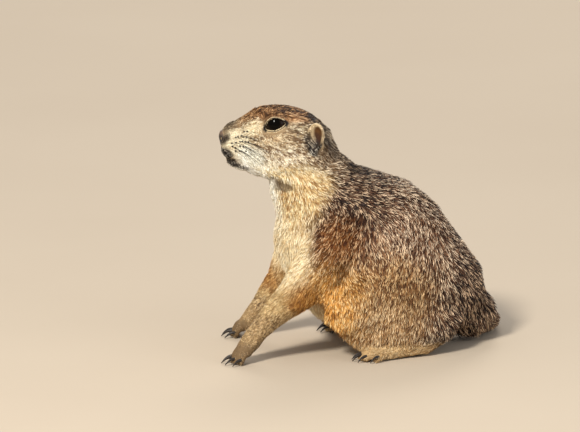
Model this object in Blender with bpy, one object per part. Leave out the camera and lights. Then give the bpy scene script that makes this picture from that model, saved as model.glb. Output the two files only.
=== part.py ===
"""A black-tailed prairie dog at life size, sitting on its haunches.

It faces -X with its left side towards -Y. The forelegs are planted in front, the head is up and
turned a little to the animal's right, the hind feet lie flat under the haunches and the tail lies
on the floor. The flesh is fused from overlapping lumps, smoothed, and parted with thin cuts.
The solids reach out to the tips of the coat. Units are metres.
"""

import math

import bmesh
import bpy
import numpy as np
from mathutils import Euler, Matrix, Vector
from mathutils.bvhtree import BVHTree

MM = 0.001

# Driving dimensions
HEAD_LENGTH = 73 * MM
SITTING_HEIGHT = 163 * MM
PAW_LENGTH = 23 * MM
FOOT_LENGTH = 52 * MM
EYE_RADIUS = 7.6 * MM
JOINT_GAP = 0.34 * MM

# The tables below are drawn 73 units long for the head and 163 units high for the body
HEAD_UNIT = HEAD_LENGTH / 73
BODY_UNIT = SITTING_HEIGHT / 163
PAW_UNIT = PAW_LENGTH / 23
FOOT_UNIT = FOOT_LENGTH / 52

# The point midway between the eyes, and how the head is turned and tipped there
BETWEEN_EYES = Vector((-54.2, 5.7, 148.1)) * BODY_UNIT
HEAD_TURN = math.radians(-15)
HEAD_TIP = math.radians(-5)
HEAD_PLACE = (
    Matrix.Translation(BETWEEN_EYES)
    @ Matrix.Rotation(HEAD_TURN, 4, "Z")
    @ Matrix.Rotation(HEAD_TIP, 4, "X")
)
SIDES = {"left": -1, "right": 1}

VOXEL = 0.9 * MM
SMOOTHING_ROUNDS = 110
FLESH_TRIANGLES = 5850
SOLE_PRESS = 1.0 * MM

# Angles of the extra rings that round off the end of a tube, in degrees from its last full ring
ROUND_END = (30, 55, 75, 86)
POINTED_END = (50,)
ACROSS = Vector((0, 1, 0))

BROWN_COAT = (0.30, 0.19, 0.11)
TAN_COAT = (0.50, 0.34, 0.18)
CREAM_COAT = (0.66, 0.54, 0.36)
PAW_COAT = (0.42, 0.32, 0.20)
BLACK_SKIN = (0.03, 0.025, 0.022)
EYE_BLACK = (0.008, 0.006, 0.005)
CLAW_BLACK = (0.05, 0.04, 0.035)


def clear_scene():
    for obj in list(bpy.data.objects):
        bpy.data.objects.remove(obj)


def finish_material(name, colour, roughness):
    material = bpy.data.materials.new(name)
    material.use_nodes = True
    shader = material.node_tree.nodes["Principled BSDF"]
    shader.inputs["Base Color"].default_value = (*colour, 1)
    shader.inputs["Roughness"].default_value = roughness
    shader.inputs["Metallic"].default_value = 0
    return material


def object_of(name, clay, material=None):
    """A named object from a bmesh, which is freed."""
    bmesh.ops.recalc_face_normals(clay, faces=clay.faces)
    mesh = bpy.data.meshes.new(name)
    clay.to_mesh(mesh)
    clay.free()
    obj = bpy.data.objects.new(name, mesh)
    bpy.context.scene.collection.objects.link(obj)
    if material:
        mesh.materials.append(material)
    return obj


def apply_modifiers(obj):
    graph = bpy.context.evaluated_depsgraph_get()
    mesh = bpy.data.meshes.new_from_object(obj.evaluated_get(graph))
    obj.modifiers.clear()
    old = obj.data
    obj.data = mesh
    bpy.data.meshes.remove(old)


def through(rows, count):
    """Rows of numbers read off a smooth curve through the given rows."""
    rows = np.array(rows, float)
    ends = np.vstack([2 * rows[0] - rows[1], rows, 2 * rows[-1] - rows[-2]])
    found = []
    for at in np.linspace(0, len(rows) - 1, count):
        i = min(int(at), len(rows) - 2)
        t = at - i
        p0, p1, p2, p3 = ends[i : i + 4]
        bend = (2 * p0 - 5 * p1 + 4 * p2 - p3) * t**2 + (-p0 + 3 * p1 - 3 * p2 + p3) * t**3
        found.append(0.5 * (2 * p1 + (p2 - p0) * t + bend))
    return np.array(found)


def skin_rings(clay, rings):
    """Joins rings of points into one closed surface, with a fan over each end."""
    loops = [[clay.verts.new(point) for point in ring] for ring in rings]
    for one, two in zip(loops, loops[1:]):
        for i in range(len(one)):
            j = (i + 1) % len(one)
            clay.faces.new((one[i], one[j], two[j], two[i]))
    for loop in (loops[0], loops[-1]):
        middle = clay.verts.new(sum((v.co for v in loop), Vector()) / len(loop))
        for i in range(len(loop)):
            clay.faces.new((loop[i], loop[(i + 1) % len(loop)], middle))


def add_ball(clay, centre, radii, turn=(0, 0, 0), place=Matrix(), detail=4):
    """An ellipsoid. turn is in degrees about X, Y and Z."""
    spin = Euler([math.radians(a) for a in turn]).to_matrix().to_4x4()
    shape = place @ Matrix.Translation(centre) @ spin @ Matrix.Diagonal((*radii, 1))
    bmesh.ops.create_icosphere(clay, subdivisions=detail, radius=1, matrix=shape)


def add_loft(clay, rows, place=Matrix(), side=ACROSS, rings=30, around=24, bluntness=1.0, ends=ROUND_END):
    """A tube with round ends through rows of x, y, z, half height and half width along side."""
    path = through(rows, rings)
    centres = [Vector(row[:3]) for row in path]
    steps = np.gradient(path[:, :3], axis=0)
    outlines = [(Vector(step).normalized(), row[3], row[4]) for step, row in zip(steps, path)]
    middle = [(centre, *outline) for centre, outline in zip(centres, outlines)]

    def cap(ring, way):
        """Rings that close the tube beyond one of its end rings."""
        centre, along, high, wide = ring
        found = []
        for angle in ends:
            out, small = math.sin(math.radians(angle)), math.cos(math.radians(angle))
            reach = way * out * min(high, wide) * bluntness
            found.append((centre + along * reach, along, high * small, wide * small))
        return found

    loops = []
    for centre, along, high, wide in cap(middle[0], -1)[::-1] + middle + cap(middle[-1], 1):
        across = (side - along * side.dot(along)).normalized()
        up = along.cross(across)
        loops.append([
            place @ (centre + across * wide * math.cos(a) + up * high * math.sin(a))
            for a in np.linspace(0, 2 * math.pi, around, endpoint=False)
        ])
    skin_rings(clay, loops)


def add_face(clay, rows, place, rings=44, around=40):
    """The head's own loft, through rows of back, top, bottom, half width, widest height and squareness."""
    loops = []
    for back, top, bottom, wide, widest, square in through(rows, rings):
        loop = []
        for a in np.linspace(0, 2 * math.pi, around, endpoint=False):
            c, s = math.cos(a), math.sin(a)
            reach = top - widest if s > 0 else widest - bottom
            y = wide * math.copysign(abs(c) ** square, c)
            z = widest + reach * math.copysign(abs(s) ** square, s)
            loop.append(place @ (Vector((back, y, z)) * HEAD_UNIT))
        loops.append(loop)
    skin_rings(clay, loops)


def scaled(rows, unit):
    return [tuple(value * unit for value in row) for row in rows]


def add_trunk(clay):
    """Neck, shoulders, belly and rump in one hunched curve."""
    spine = [
        (-36.6, 1, 133.5, 19.8, 19),
        (-34.5, 0, 117.5, 27, 22.5),
        (-27, 0, 101, 32, 28),
        (-13, 0, 85, 40, 35),
        (6, 0, 68, 47.2, 41),
        (24.5, 0, 51.5, 46.2, 44),
        (43, 0, 39.5, 38.8, 41.5),
        (60.5, 0, 28.5, 29.6, 32),
        (71.5, 0, 20, 18.5, 20),
    ]
    add_loft(clay, scaled(spine, BODY_UNIT), rings=40, around=36)
    add_ball(clay, Vector((-32, 1, 77)) * BODY_UNIT, Vector((25, 27, 35)) * BODY_UNIT, turn=(0, 8, 0))
    add_ball(clay, Vector((-4, 0, 44)) * BODY_UNIT, Vector((40, 36, 34)) * BODY_UNIT, turn=(0, 20, 0))
    for side in SIDES.values():
        shoulder = Vector((-18, 20 * side, 80)) * BODY_UNIT
        add_ball(clay, shoulder, Vector((24, 18, 27)) * BODY_UNIT, turn=(0, -25, 0))


# Limbs as x, y, z, half height and half width, with the haunch drawn for the animal's +Y side
HAUNCH = [
    (40, 22, 44, 29, 20),
    (15, 30, 39, 31.5, 19),
    (-9, 35, 34, 23.5, 15.5),
    (-23.5, 37, 30.5, 14.5, 11.5),
]
# The haunch's fur spreads over the heel and nearly reaches the floor
SKIRT_CENTRE = Vector((17, 32, 20))
SKIRT_RADII = (42, 17, 18.5)
FORELEGS = {
    "left": [
        (-21, -26, 80, 18, 14),
        (-35.5, -31.5, 62, 17.5, 13),
        (-49, -31, 44.5, 14, 11.2),
        (-62, -29, 33.5, 10.5, 9.2),
        (-72.5, -27.8, 22.6, 7.9, 7.5),
        (-79.3, -27.3, 15.2, 6.4, 6.8),
        (-83.5, -27, 10.8, 5.0, 6.2),
    ],
    "right": [
        (-21, 26, 80, 18, 14),
        (-31.5, 31, 62, 16.5, 12.5),
        (-38.5, 35, 45, 12.8, 10.8),
        (-46, 37.5, 32.5, 9.8, 8.8),
        (-54, 38.7, 22.4, 7.9, 7.5),
        (-60, 40, 15, 6.4, 6.8),
        (-63.8, 41.2, 10.8, 5.0, 6.2),
    ],
}
# Where each forepaw leaves the wrist, and its heading from straight ahead towards the animal's right
PAW_ROOTS = {"left": (Vector((-75.5, -27.5, 9)), -6), "right": (Vector((-57.5, 39, 9)), 24)}
FOOT_ROOTS = {"left": (Vector((37, -37, 5)), -7), "right": (Vector((37, 37, 5)), 7)}

# Toes as start ahead, start sideways, spread in degrees, length and radius, outer toe last
FORE_TOES = [
    (7.0, -4.6, -16, 6.6, 2.1),
    (8.2, -1.7, -5, 8.0, 2.25),
    (8.2, 1.7, 6, 7.8, 2.25),
    (7.0, 4.7, 17, 6.4, 2.1),
]
HIND_TOES = [
    (33.5, -5.6, -15, 8.0, 2.3),
    (36.5, -3.0, -6, 10.5, 2.5),
    (37.2, 0.0, 0, 11.2, 2.55),
    (36.3, 3.1, 6, 10.4, 2.5),
    (32.0, 5.6, 15, 8.2, 2.3),
]
# The toe's radius at its root, knuckle and tip, as shares of the radius above
TOE_SWELL = (1.05, 1.1, 0.92)
FORE_KNUCKLE = 8.6
HIND_KNUCKLE = 5.4

# Palm and sole from the wrist or heel to the toes, as ahead, aside, height, half height, half width
FORE_PALM = [(0, 0, 16.5, 5.6, 6.0), (4.5, 0, 11.8, 4.8, 6.6), (9.5, 0, 7.4, 3.8, 6.6)]
HIND_SOLE = [(2, 0, 6.5, 6.0, 6.2), (16, 0, 5.6, 5.2, 6.6), (28, 0, 4.8, 4.6, 7.4), (36, 0, 4.3, 3.8, 7.4)]
THUMB_CENTRE = (4.0, 5.2, 8.0)
THUMB_RADII = (2.4, 2.0, 2.6)
FORE_CLAW_LENGTH = 8.0
HIND_CLAW_LENGTH = 7.0
CLAW_THICKNESS = 1.3


def ground_place(root, heading, unit):
    """The frame of a paw: X ahead along the toes, Z up, its origin on the floor under the wrist or heel."""
    base = Vector((root.x, root.y, 0)) * BODY_UNIT
    turn = Matrix.Rotation(math.pi - math.radians(heading), 4, "Z")
    return Matrix.Translation(base) @ turn @ Matrix.Scale(unit, 4)


def paw_frames():
    """(name, frame, toes, knuckle height) of all four paws."""
    frames = []
    for side in SIDES:
        root, heading = PAW_ROOTS[side]
        frames.append((f"fore_{side}", ground_place(root, heading, PAW_UNIT), FORE_TOES, FORE_KNUCKLE))
    for side in SIDES:
        root, heading = FOOT_ROOTS[side]
        frames.append((f"hind_{side}", ground_place(root, heading, FOOT_UNIT), HIND_TOES, HIND_KNUCKLE))
    return frames


def toe_points(toe, knuckle):
    """The toe's centre line: out of the palm, over the knuckle and down to the tip."""
    ahead, aside, spread, length, radius = toe
    way = Vector((math.cos(math.radians(spread)), math.sin(math.radians(spread)), 0))
    start = Vector((ahead, aside, knuckle - 1.2))
    arch = start + way * length * 0.5 + Vector((0, 0, 1.0))
    tip = start + way * length + Vector((0, 0, radius - knuckle + 1.6))
    return [start, arch, tip]


def add_toes(clay, frame, toes, knuckle):
    for toe in toes:
        sizes = [toe[4] * swell for swell in TOE_SWELL]
        rows = [(*point, size, size) for point, size in zip(toe_points(toe, knuckle), sizes)]
        add_loft(clay, rows, place=frame, rings=10, around=14)


def add_legs(clay):
    for side, sign in SIDES.items():
        haunch = [(x, y * sign, z, high, wide) for x, y, z, high, wide in HAUNCH]
        add_loft(clay, scaled(haunch, BODY_UNIT), rings=24, around=30)
        skirt = Vector((SKIRT_CENTRE.x, SKIRT_CENTRE.y * sign, SKIRT_CENTRE.z))
        add_ball(clay, skirt * BODY_UNIT, Vector(SKIRT_RADII) * BODY_UNIT)
        add_loft(clay, scaled(FORELEGS[side], BODY_UNIT), rings=24, around=22)
    for name, frame, toes, knuckle in paw_frames():
        fore = name.startswith("fore")
        add_loft(clay, FORE_PALM if fore else HIND_SOLE, place=frame, rings=16, around=20)
        add_toes(clay, frame, toes, knuckle)
        if fore:
            ahead, aside, height = THUMB_CENTRE
            inward = -1 if name.endswith("left") else 1
            add_ball(clay, (ahead, aside * inward, height), THUMB_RADII, place=frame, detail=3)


# The tail from the rump round the animal's right side, wide along the floor
TAIL = [
    (66, 0, 16, 14, 14),
    (79, 4, 12, 11, 10.5),
    (88, 14, 8.8, 9.2, 7.6),
    (91, 29, 6.8, 9.6, 6.4),
    (87, 45, 5.8, 9.6, 5.2),
    (79, 57, 4.8, 8.0, 4.4),
    (72, 65, 4.2, 5.6, 3.4),
]


def add_tail(clay):
    rows = scaled(TAIL, BODY_UNIT)
    add_loft(clay, rows, rings=26, around=22, side=Vector((0.02, 0.03, -1)), bluntness=1.6)


# The head from the nose back, as back, top, bottom, half width, widest height and squareness
FACE = [
    (-35.6, -8.0, -12.5, 2.2, -10.2, 0.9),
    (-34.4, -4.8, -17.2, 4.6, -11.5, 0.9),
    (-32.0, -1.5, -22.0, 6.8, -13.5, 0.9),
    (-28.5, 0.6, -25.4, 9.2, -14.5, 0.9),
    (-24.0, 2.6, -29.0, 12.0, -14.5, 0.9),
    (-19.0, 5.6, -32.0, 14.6, -14.0, 0.92),
    (-13.5, 9.4, -34.6, 17.2, -13.0, 0.95),
    (-7.0, 10.8, -36.4, 20.0, -12.0, 0.95),
    (0.0, 11.2, -37.6, 22.6, -12.5, 0.92),
    (8.0, 10.8, -38.2, 24.8, -13.0, 0.92),
    (16.0, 8.8, -38.6, 25.8, -13.5, 0.95),
    (24.0, 4.8, -38.4, 25.2, -14.0, 0.97),
    (29.5, -1.2, -37.0, 23.0, -15.0, 1.0),
    (34.0, -8.0, -33.0, 18.0, -17.0, 1.0),
    (36.5, -14.0, -27.0, 9.0, -19.0, 1.0),
]
EYE_CENTRE = Vector((0.2, 15.2, 0.9))
EYE_OUT = Vector((-0.20, 1.0, 0.16)).normalized()
EYE_SLANT = 14
LID_THICKNESS = 1.2 * MM


def eye_frame(side):
    """X towards the back of the head along the slit, Y out of the eye, Z up, in metres."""
    centre = Vector((EYE_CENTRE.x, EYE_CENTRE.y * side, EYE_CENTRE.z)) * HEAD_UNIT
    out = Vector((EYE_OUT.x, EYE_OUT.y * side, EYE_OUT.z))
    back = (Vector((1, 0, 0)) - out * out.x).normalized()
    up = back.cross(out) * side
    slit = Matrix.Rotation(math.radians(EYE_SLANT) * -side, 3, out) @ back
    high = slit.cross(out) * side
    axes = Matrix((slit, out, high)).transposed().to_4x4()
    return HEAD_PLACE @ Matrix.Translation(centre) @ axes


def add_head(clay):
    add_face(clay, FACE, HEAD_PLACE)
    unit = HEAD_PLACE @ Matrix.Scale(HEAD_UNIT, 4)
    add_ball(clay, (-32.9, 0, -9.6), (3.4, 5.2, 4.9), turn=(0, -12, 0), place=unit)
    add_ball(clay, (-24.5, 0, -26.2), (8.5, 6.4, 4.2), turn=(0, 24, 0), place=unit)
    for side in SIDES.values():
        add_ball(clay, (-27.5, 6.2 * side, -15.5), (7.8, 6.2, 8.0), turn=(0, 20, 0), place=unit)
        brow_turn = (-30 * side, 6, 10 * side)
        add_ball(clay, (1.5, 13.0 * side, 4.6), (13.0, 7.0, 4.6), turn=brow_turn, place=unit)
        add_ball(clay, (11.0, 15.5 * side, -17.5), (17.0, 10.5, 14.5), place=unit)
        lid = EYE_RADIUS + LID_THICKNESS
        add_ball(clay, (0, 0, 0), (lid, lid, lid), place=eye_frame(side))


def body_point(x, y, z):
    return Vector((x, y, z)) * BODY_UNIT


def closeness(points, centre, reach):
    """1 at the centre, falling smoothly to 0 at the reach."""
    gap = np.linalg.norm(points - np.array(centre), axis=1) / reach
    return np.clip(1 - gap, 0, 1) ** 2 * (3 - 2 * np.clip(1 - gap, 0, 1))


def fineness(points):
    """How fine the surface stays at each point: 1 on the face and toes, 0 on the trunk."""
    face = HEAD_PLACE @ (Vector((-14, 0, -11)) * HEAD_UNIT)
    fine = np.clip(closeness(points, face, 50 * MM) * 1.9, 0, 1)
    for _, frame, toes, _ in paw_frames():
        middle = frame @ Vector((toes[1][0], 0, 3))
        fine = np.maximum(fine, np.clip(closeness(points, middle, 25 * MM) * 2.0, 0, 1))
    tail = 0.5 * closeness(points, body_point(88, 42, 5), 34 * MM) ** 0.3
    wrists = np.clip((30 * MM - points[:, 2]) / (20 * MM), 0, 0.6) * (points[:, 0] < -45 * MM)
    return np.maximum.reduce([fine, tail, wrists])


def set_group(obj, name, weights):
    group = obj.vertex_groups.new(name=name)
    levels = np.round(np.clip(weights, 0, 1) * 50).astype(int)
    for level in np.unique(levels):
        group.add(np.nonzero(levels == level)[0].tolist(), level / 50, "REPLACE")


def points_of(obj):
    points = np.empty(len(obj.data.vertices) * 3)
    obj.data.vertices.foreach_get("co", points)
    return points.reshape(-1, 3)


def flesh():
    """The whole animal without ears, eyes and claws, fused, smoothed and flat under its soles."""
    clay = bmesh.new()
    add_trunk(clay)
    add_legs(clay)
    add_tail(clay)
    add_head(clay)
    whole = object_of("flesh", clay)
    remesh = whole.modifiers.new("fuse", "REMESH")
    remesh.mode = "VOXEL"
    remesh.voxel_size = VOXEL
    apply_modifiers(whole)
    fine = fineness(points_of(whole))
    set_group(whole, "soft", 0.045 + 0.955 * (1 - fine) ** 1.5)
    smooth = whole.modifiers.new("soften", "SMOOTH")
    smooth.factor = 0.5
    smooth.iterations = SMOOTHING_ROUNDS
    smooth.vertex_group = "soft"
    apply_modifiers(whole)
    points = points_of(whole)
    points[:, 2] -= SOLE_PRESS * np.clip(1 - points[:, 2] / (12 * MM), 0, 1)
    whole.data.vertices.foreach_set("co", points.ravel())
    whole.vertex_groups.clear()
    set_group(whole, "plain", 1 - 0.7 * fineness(points))
    triangles = sum(len(face.vertices) - 2 for face in whole.data.polygons)
    thin = whole.modifiers.new("thin", "DECIMATE")
    thin.ratio = FLESH_TRIANGLES / triangles
    thin.vertex_group = "plain"
    thin.vertex_group_factor = 1.0
    apply_modifiers(whole)
    whole.vertex_groups.clear()
    clay = bmesh.new()
    bmesh.ops.create_cube(clay, size=1, matrix=Matrix.Translation((0, 0, -0.5)))
    boolean(whole, object_of("floor", clay), "DIFFERENCE")
    return whole


def boolean(obj, cutter, operation, crossing=False):
    """Applies one Boolean. crossing says that the cutter's surface passes through itself."""
    modifier = obj.modifiers.new(operation.lower(), "BOOLEAN")
    modifier.operation = operation
    modifier.object = cutter
    modifier.solver = "EXACT"
    modifier.use_self = crossing
    apply_modifiers(obj)
    bpy.data.objects.remove(cutter)
    keep_largest(obj)


def keep_largest(obj):
    """Drops every loose scrap but the largest closed surface."""
    clay = bmesh.new()
    clay.from_mesh(obj.data)
    bmesh.ops.triangulate(clay, faces=clay.faces)
    left = set(clay.verts)
    shells = []
    while left:
        shell = {left.pop()}
        edge = list(shell)
        while edge:
            found = {e.other_vert(v) for v in edge for e in v.link_edges} - shell
            shell |= found
            edge = list(found)
        left -= shell
        shells.append(shell)
    largest = max(shells, key=len)
    scraps = [v for v in clay.verts if v not in largest]
    bmesh.ops.delete(clay, geom=scraps, context="VERTS")
    clay.to_mesh(obj.data)
    clay.free()


def part_off(whole, name, region, material):
    """Cuts a region off the whole, leaving a thin gap. region(clay, grow) fills the cutter."""
    piece = whole.copy()
    piece.data = whole.data.copy()
    piece.name = name
    piece.data.name = name
    bpy.context.scene.collection.objects.link(piece)
    for target, grow, operation in ((piece, -0.5, "INTERSECT"), (whole, 0.5, "DIFFERENCE")):
        clay = bmesh.new()
        region(clay, grow * JOINT_GAP)
        boolean(target, object_of("cutter", clay), operation)
    piece.data.materials.clear()
    piece.data.materials.append(material)
    return piece


def box_region(place, low, high):
    """A region bounded by a box in its own frame."""

    def fill(clay, grow):
        low_corner = Vector(low) - Vector((grow,) * 3)
        high_corner = Vector(high) + Vector((grow,) * 3)
        size = high_corner - low_corner
        shape = place @ Matrix.Translation((low_corner + high_corner) / 2) @ Matrix.Diagonal((*size, 1))
        bmesh.ops.create_cube(clay, size=1, matrix=shape)

    return fill


def loft_region(rows):
    """A region that sleeves a limb."""

    def fill(clay, grow):
        wider = [(x, y, z, high + grow, wide + grow) for x, y, z, high, wide in rows]
        add_loft(clay, wider, rings=14, around=20)

    return fill


def cut_frame(point, normal, across=ACROSS):
    """A frame at the point whose Z is the normal of a cut."""
    up = Vector(normal).normalized()
    side = (across - up * across.dot(up)).normalized()
    axes = Matrix((side.cross(up), side, up)).transposed().to_4x4()
    return Matrix.Translation(Vector(point)) @ axes


# Centre and radii of the nose pad in the head's own units
NOSE_CENTRE = (-35.6, 0, -9.8)
NOSE_RADII = (6.0, 5.4, 5.0)

# Where flat cuts part the flesh: a point in body units and the direction of the piece cut off
NECK_CUT = ((-26, 0, 99), (-0.42, 0, 0.91))
TAIL_CUT = ((85, 9, 10), (0.35, 0.94, 0))
TIP_CUT = ((90, 38, 6.5), (-0.2, 1, 0))
# The head's cut is set out in the head's own units
HEAD_CUT = ((20, 0, -25), (-0.68, 0, 0.73))
BEYOND = 90 * MM

# How far the sleeve that parts a foreleg lies outside it from shoulder to wrist, and how much wider it is
SLEEVE_OUTWARD = (9, 5, 1, 0, 0, 0, 0)
SLEEVE_EXTRA = 2.2
# The haunch is parted by its own shape moved outward, down and a little higher
THIGH_OUTWARD, THIGH_DOWN, THIGH_EXTRA = 9, 5, 4


def half_space(cut, low=-BEYOND, high=BEYOND, width=BEYOND):
    """Everything beyond a flat cut, between low and high across it."""
    return box_region(cut, (low, -width, 0), (high, width, BEYOND))


def build_body(coats):
    """Parts the flesh into its named nodes."""
    whole = flesh()
    nodes = {}
    upright = Vector((0, 0, 1))

    def nose_region(clay, grow):
        size = 1 + grow / (NOSE_RADII[0] * HEAD_UNIT)
        place = HEAD_PLACE @ Matrix.Scale(HEAD_UNIT, 4)
        add_ball(clay, NOSE_CENTRE, Vector(NOSE_RADII) * size, place=place, detail=3)

    nodes["nose"] = part_off(whole, "nose", nose_region, coats["skin"])
    head_cut = cut_frame(HEAD_PLACE @ (Vector(HEAD_CUT[0]) * HEAD_UNIT), HEAD_CUT[1])
    nodes["head"] = part_off(whole, "head", half_space(head_cut), coats["cream"])
    neck_cut = cut_frame(body_point(*NECK_CUT[0]), NECK_CUT[1])
    nodes["neck"] = part_off(whole, "neck", half_space(neck_cut), coats["cream"])
    tail_cut = cut_frame(body_point(*TAIL_CUT[0]), TAIL_CUT[1], upright)
    tail_region = half_space(tail_cut, -16 * MM, 16 * MM, 20 * MM)
    nodes["tail"] = part_off(whole, "tail", tail_region, coats["tan"])
    tip_cut = cut_frame(body_point(*TIP_CUT[0]), TIP_CUT[1], upright)
    nodes["tail_tip"] = part_off(nodes["tail"], "tail_tip", half_space(tip_cut), coats["skin"])
    for side, sign in SIDES.items():
        root, heading = PAW_ROOTS[side]
        frame = ground_place(root, heading, 1)
        slope = Matrix.Rotation(math.radians(44), 4, "Y")
        wrist = frame @ Matrix.Translation((1.5 * MM, 0, 15.5 * MM)) @ slope
        paw_box = box_region(wrist, (0, -17 * MM, -20 * MM), (40 * MM, 17 * MM, 30 * MM))
        nodes[f"forepaw_{side}"] = part_off(whole, f"forepaw_{side}", paw_box, coats["paw"])
        sleeve = []
        for (x, y, z, high, wide), out in zip(FORELEGS[side], SLEEVE_OUTWARD):
            sleeve.append((x, y + sign * out, z, high + SLEEVE_EXTRA, wide + SLEEVE_EXTRA))
        leg_region = loft_region(scaled(sleeve, BODY_UNIT))
        nodes[f"foreleg_{side}"] = part_off(whole, f"foreleg_{side}", leg_region, coats["tan"])
        root, heading = FOOT_ROOTS[side]
        frame = ground_place(root, heading, 1)
        foot_box = box_region(frame, (-8 * MM, -9.5 * MM, -5 * MM), (60 * MM, 9.5 * MM, 8.6 * MM))
        nodes[f"hindfoot_{side}"] = part_off(whole, f"hindfoot_{side}", foot_box, coats["paw"])
        thigh = []
        for x, y, z, high, wide in HAUNCH:
            thigh.append((x, (y + THIGH_OUTWARD) * sign, z - THIGH_DOWN, high + THIGH_EXTRA, wide))
        thigh_region = loft_region(scaled(thigh, BODY_UNIT))
        nodes[f"haunch_{side}"] = part_off(whole, f"haunch_{side}", thigh_region, coats["tan"])
    whole.name = "torso"
    whole.data.name = "torso"
    whole.data.materials.clear()
    whole.data.materials.append(coats["brown"])
    nodes["torso"] = whole
    return nodes


SLIT_HALF_LENGTH = 7.3 * MM
UPPER_LID_ARCH = 4.9 * MM
LOWER_LID_ARCH = 2.9 * MM
SLIT_DROP = 1.0 * MM


def lens_cutter(side):
    """The almond opening between the lids, as a short prism out of the eye."""
    top = [(t, UPPER_LID_ARCH * (1 - abs(t) ** 2.0)) for t in np.linspace(-1, 1, 11)]
    bottom = [(t, -LOWER_LID_ARCH * (1 - abs(t) ** 2.2)) for t in np.linspace(1, -1, 9)[1:-1]]
    outline = [(t * SLIT_HALF_LENGTH, z - SLIT_DROP) for t, z in top + bottom]
    frame = eye_frame(side)
    clay = bmesh.new()
    loops = []
    for out in (2.0 * MM, 14 * MM):
        loops.append([frame @ Vector((x, out, z)) for x, z in outline])
    skin_rings(clay, loops)
    return object_of("lens", clay)


def open_eyes(head, eye_material):
    """Sockets and lid openings in the head, and the two eyeballs."""
    eyes = {}
    for side, sign in SIDES.items():
        boolean(head, lens_cutter(sign), "DIFFERENCE")
        clay = bmesh.new()
        socket = EYE_RADIUS + JOINT_GAP
        add_ball(clay, (0, 0, 0), (socket * 1.02,) * 3, place=eye_frame(sign), detail=2)
        boolean(head, object_of("socket", clay), "DIFFERENCE")
        clay = bmesh.new()
        bmesh.ops.create_uvsphere(
            clay, u_segments=18, v_segments=10, radius=EYE_RADIUS, matrix=eye_frame(sign)
        )
        eyes[f"eye_{side}"] = object_of(f"eye_{side}", clay, eye_material)
    return eyes


def surface_tree(obj):
    clay = bmesh.new()
    clay.from_mesh(obj.data)
    tree = BVHTree.FromBMesh(clay)
    clay.free()
    return tree


# The mouth from the middle of the lips to the corner, as back, outward and height, laid on the head
MOUTH_LINE = [
    (-35.5, 0.0, -19.4),
    (-34.4, 3.6, -19.9),
    (-32.6, 6.6, -21.6),
    (-29.6, 9.0, -24.0),
    (-25.0, 10.6, -26.6),
    (-20.0, 11.8, -28.8),
    (-16.0, 12.6, -29.9),
    (-12.5, 13.4, -29.6),
]
# Heights of the cleft between the nose and the lips
CLEFT = (-15.2, -16.6, -18.0, -19.2)
# A nostril from its opening inward, as x, y, z, half height and half width
NOSTRIL = [(-37.0, 2.3, -11.0, 1.1, 0.8), (-35.0, 3.2, -10.2, 1.2, 0.9), (-33.4, 4.4, -8.8, 0.8, 0.6)]


def groove(head, points, radius, depth, side):
    """Cuts a round-bottomed groove along points laid on the head's surface. side lies across it."""
    tree = surface_tree(head)
    rows = []
    for point in points:
        spot, normal, _, _ = tree.find_nearest(point)
        centre = spot + normal * (radius - depth)
        rows.append((*centre, radius, radius))
    clay = bmesh.new()
    add_loft(clay, rows, side=side, rings=2 * len(rows) - 1, around=6, ends=POINTED_END)
    boolean(head, object_of("groove", clay), "DIFFERENCE", crossing=True)


def cut_mouth(head, nose):
    """The line of the mouth from corner to corner, the cleft under the nose, and the nostrils."""
    place = HEAD_PLACE @ Matrix.Scale(HEAD_UNIT, 4)
    left = [place @ Vector((x, -y, z)) for x, y, z in reversed(MOUTH_LINE[1:])]
    right = [place @ Vector(row) for row in MOUTH_LINE]
    groove(head, left + right, 0.8 * MM, 1.0 * MM, Vector((0.1, 0.2, 1)))
    cleft = [place @ Vector((-36, 0, z)) for z in CLEFT]
    groove(head, cleft, 0.6 * MM, 0.7 * MM, Vector((0.2, 1, 0.1)))
    for side in SIDES.values():
        clay = bmesh.new()
        rows = [(x, y * side, z, high, wide) for x, y, z, high, wide in NOSTRIL]
        add_loft(clay, rows, place=place, rings=4, around=8, ends=POINTED_END)
        boolean(nose, object_of("nostril", clay), "DIFFERENCE")


# The pinna and the ellipsoid that hollows it, in the head's own units
EAR_CENTRE = Vector((25.3, 24.4, -5.9))
EAR_RADII = (6.2, 5.6, 9.6)
# Each ear's turn in degrees and how far it sits down the head, with the right one laid further out
EAR_TURNS = {-1: (8, 8, -18), 1: (-38, 8, 18)}
EAR_DROPS = {-1: 0, 1: 2.4}
HOLLOW_OFFSET = Vector((-1.6, 3.0, 0.2))
HOLLOW_RADII = (5.7, 5.0, 8.5)


def build_ear(name, side, flesh_nodes, material):
    """A small round pinna, hollowed from the front and outside, with its root fitted to the head."""
    place = HEAD_PLACE @ Matrix.Scale(HEAD_UNIT, 4)
    turn = EAR_TURNS[side]
    mirror = Matrix.Diagonal((1, side, 1))
    centre = mirror @ EAR_CENTRE - Vector((0, 0, EAR_DROPS[side]))
    clay = bmesh.new()
    add_ball(clay, centre, EAR_RADII, turn=turn, place=place, detail=3)
    ear = object_of(name, clay, material)
    hollow = bmesh.new()
    add_ball(hollow, centre + mirror @ HOLLOW_OFFSET, HOLLOW_RADII, turn=turn, place=place, detail=3)
    boolean(ear, object_of("hollow", hollow), "DIFFERENCE")
    for node in flesh_nodes:
        grown = node.copy()
        grown.data = node.data.copy()
        bpy.context.scene.collection.objects.link(grown)
        swell = grown.modifiers.new("swell", "DISPLACE")
        swell.strength = JOINT_GAP
        swell.mid_level = 0
        apply_modifiers(grown)
        boolean(ear, grown, "DIFFERENCE")
    return ear


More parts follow.
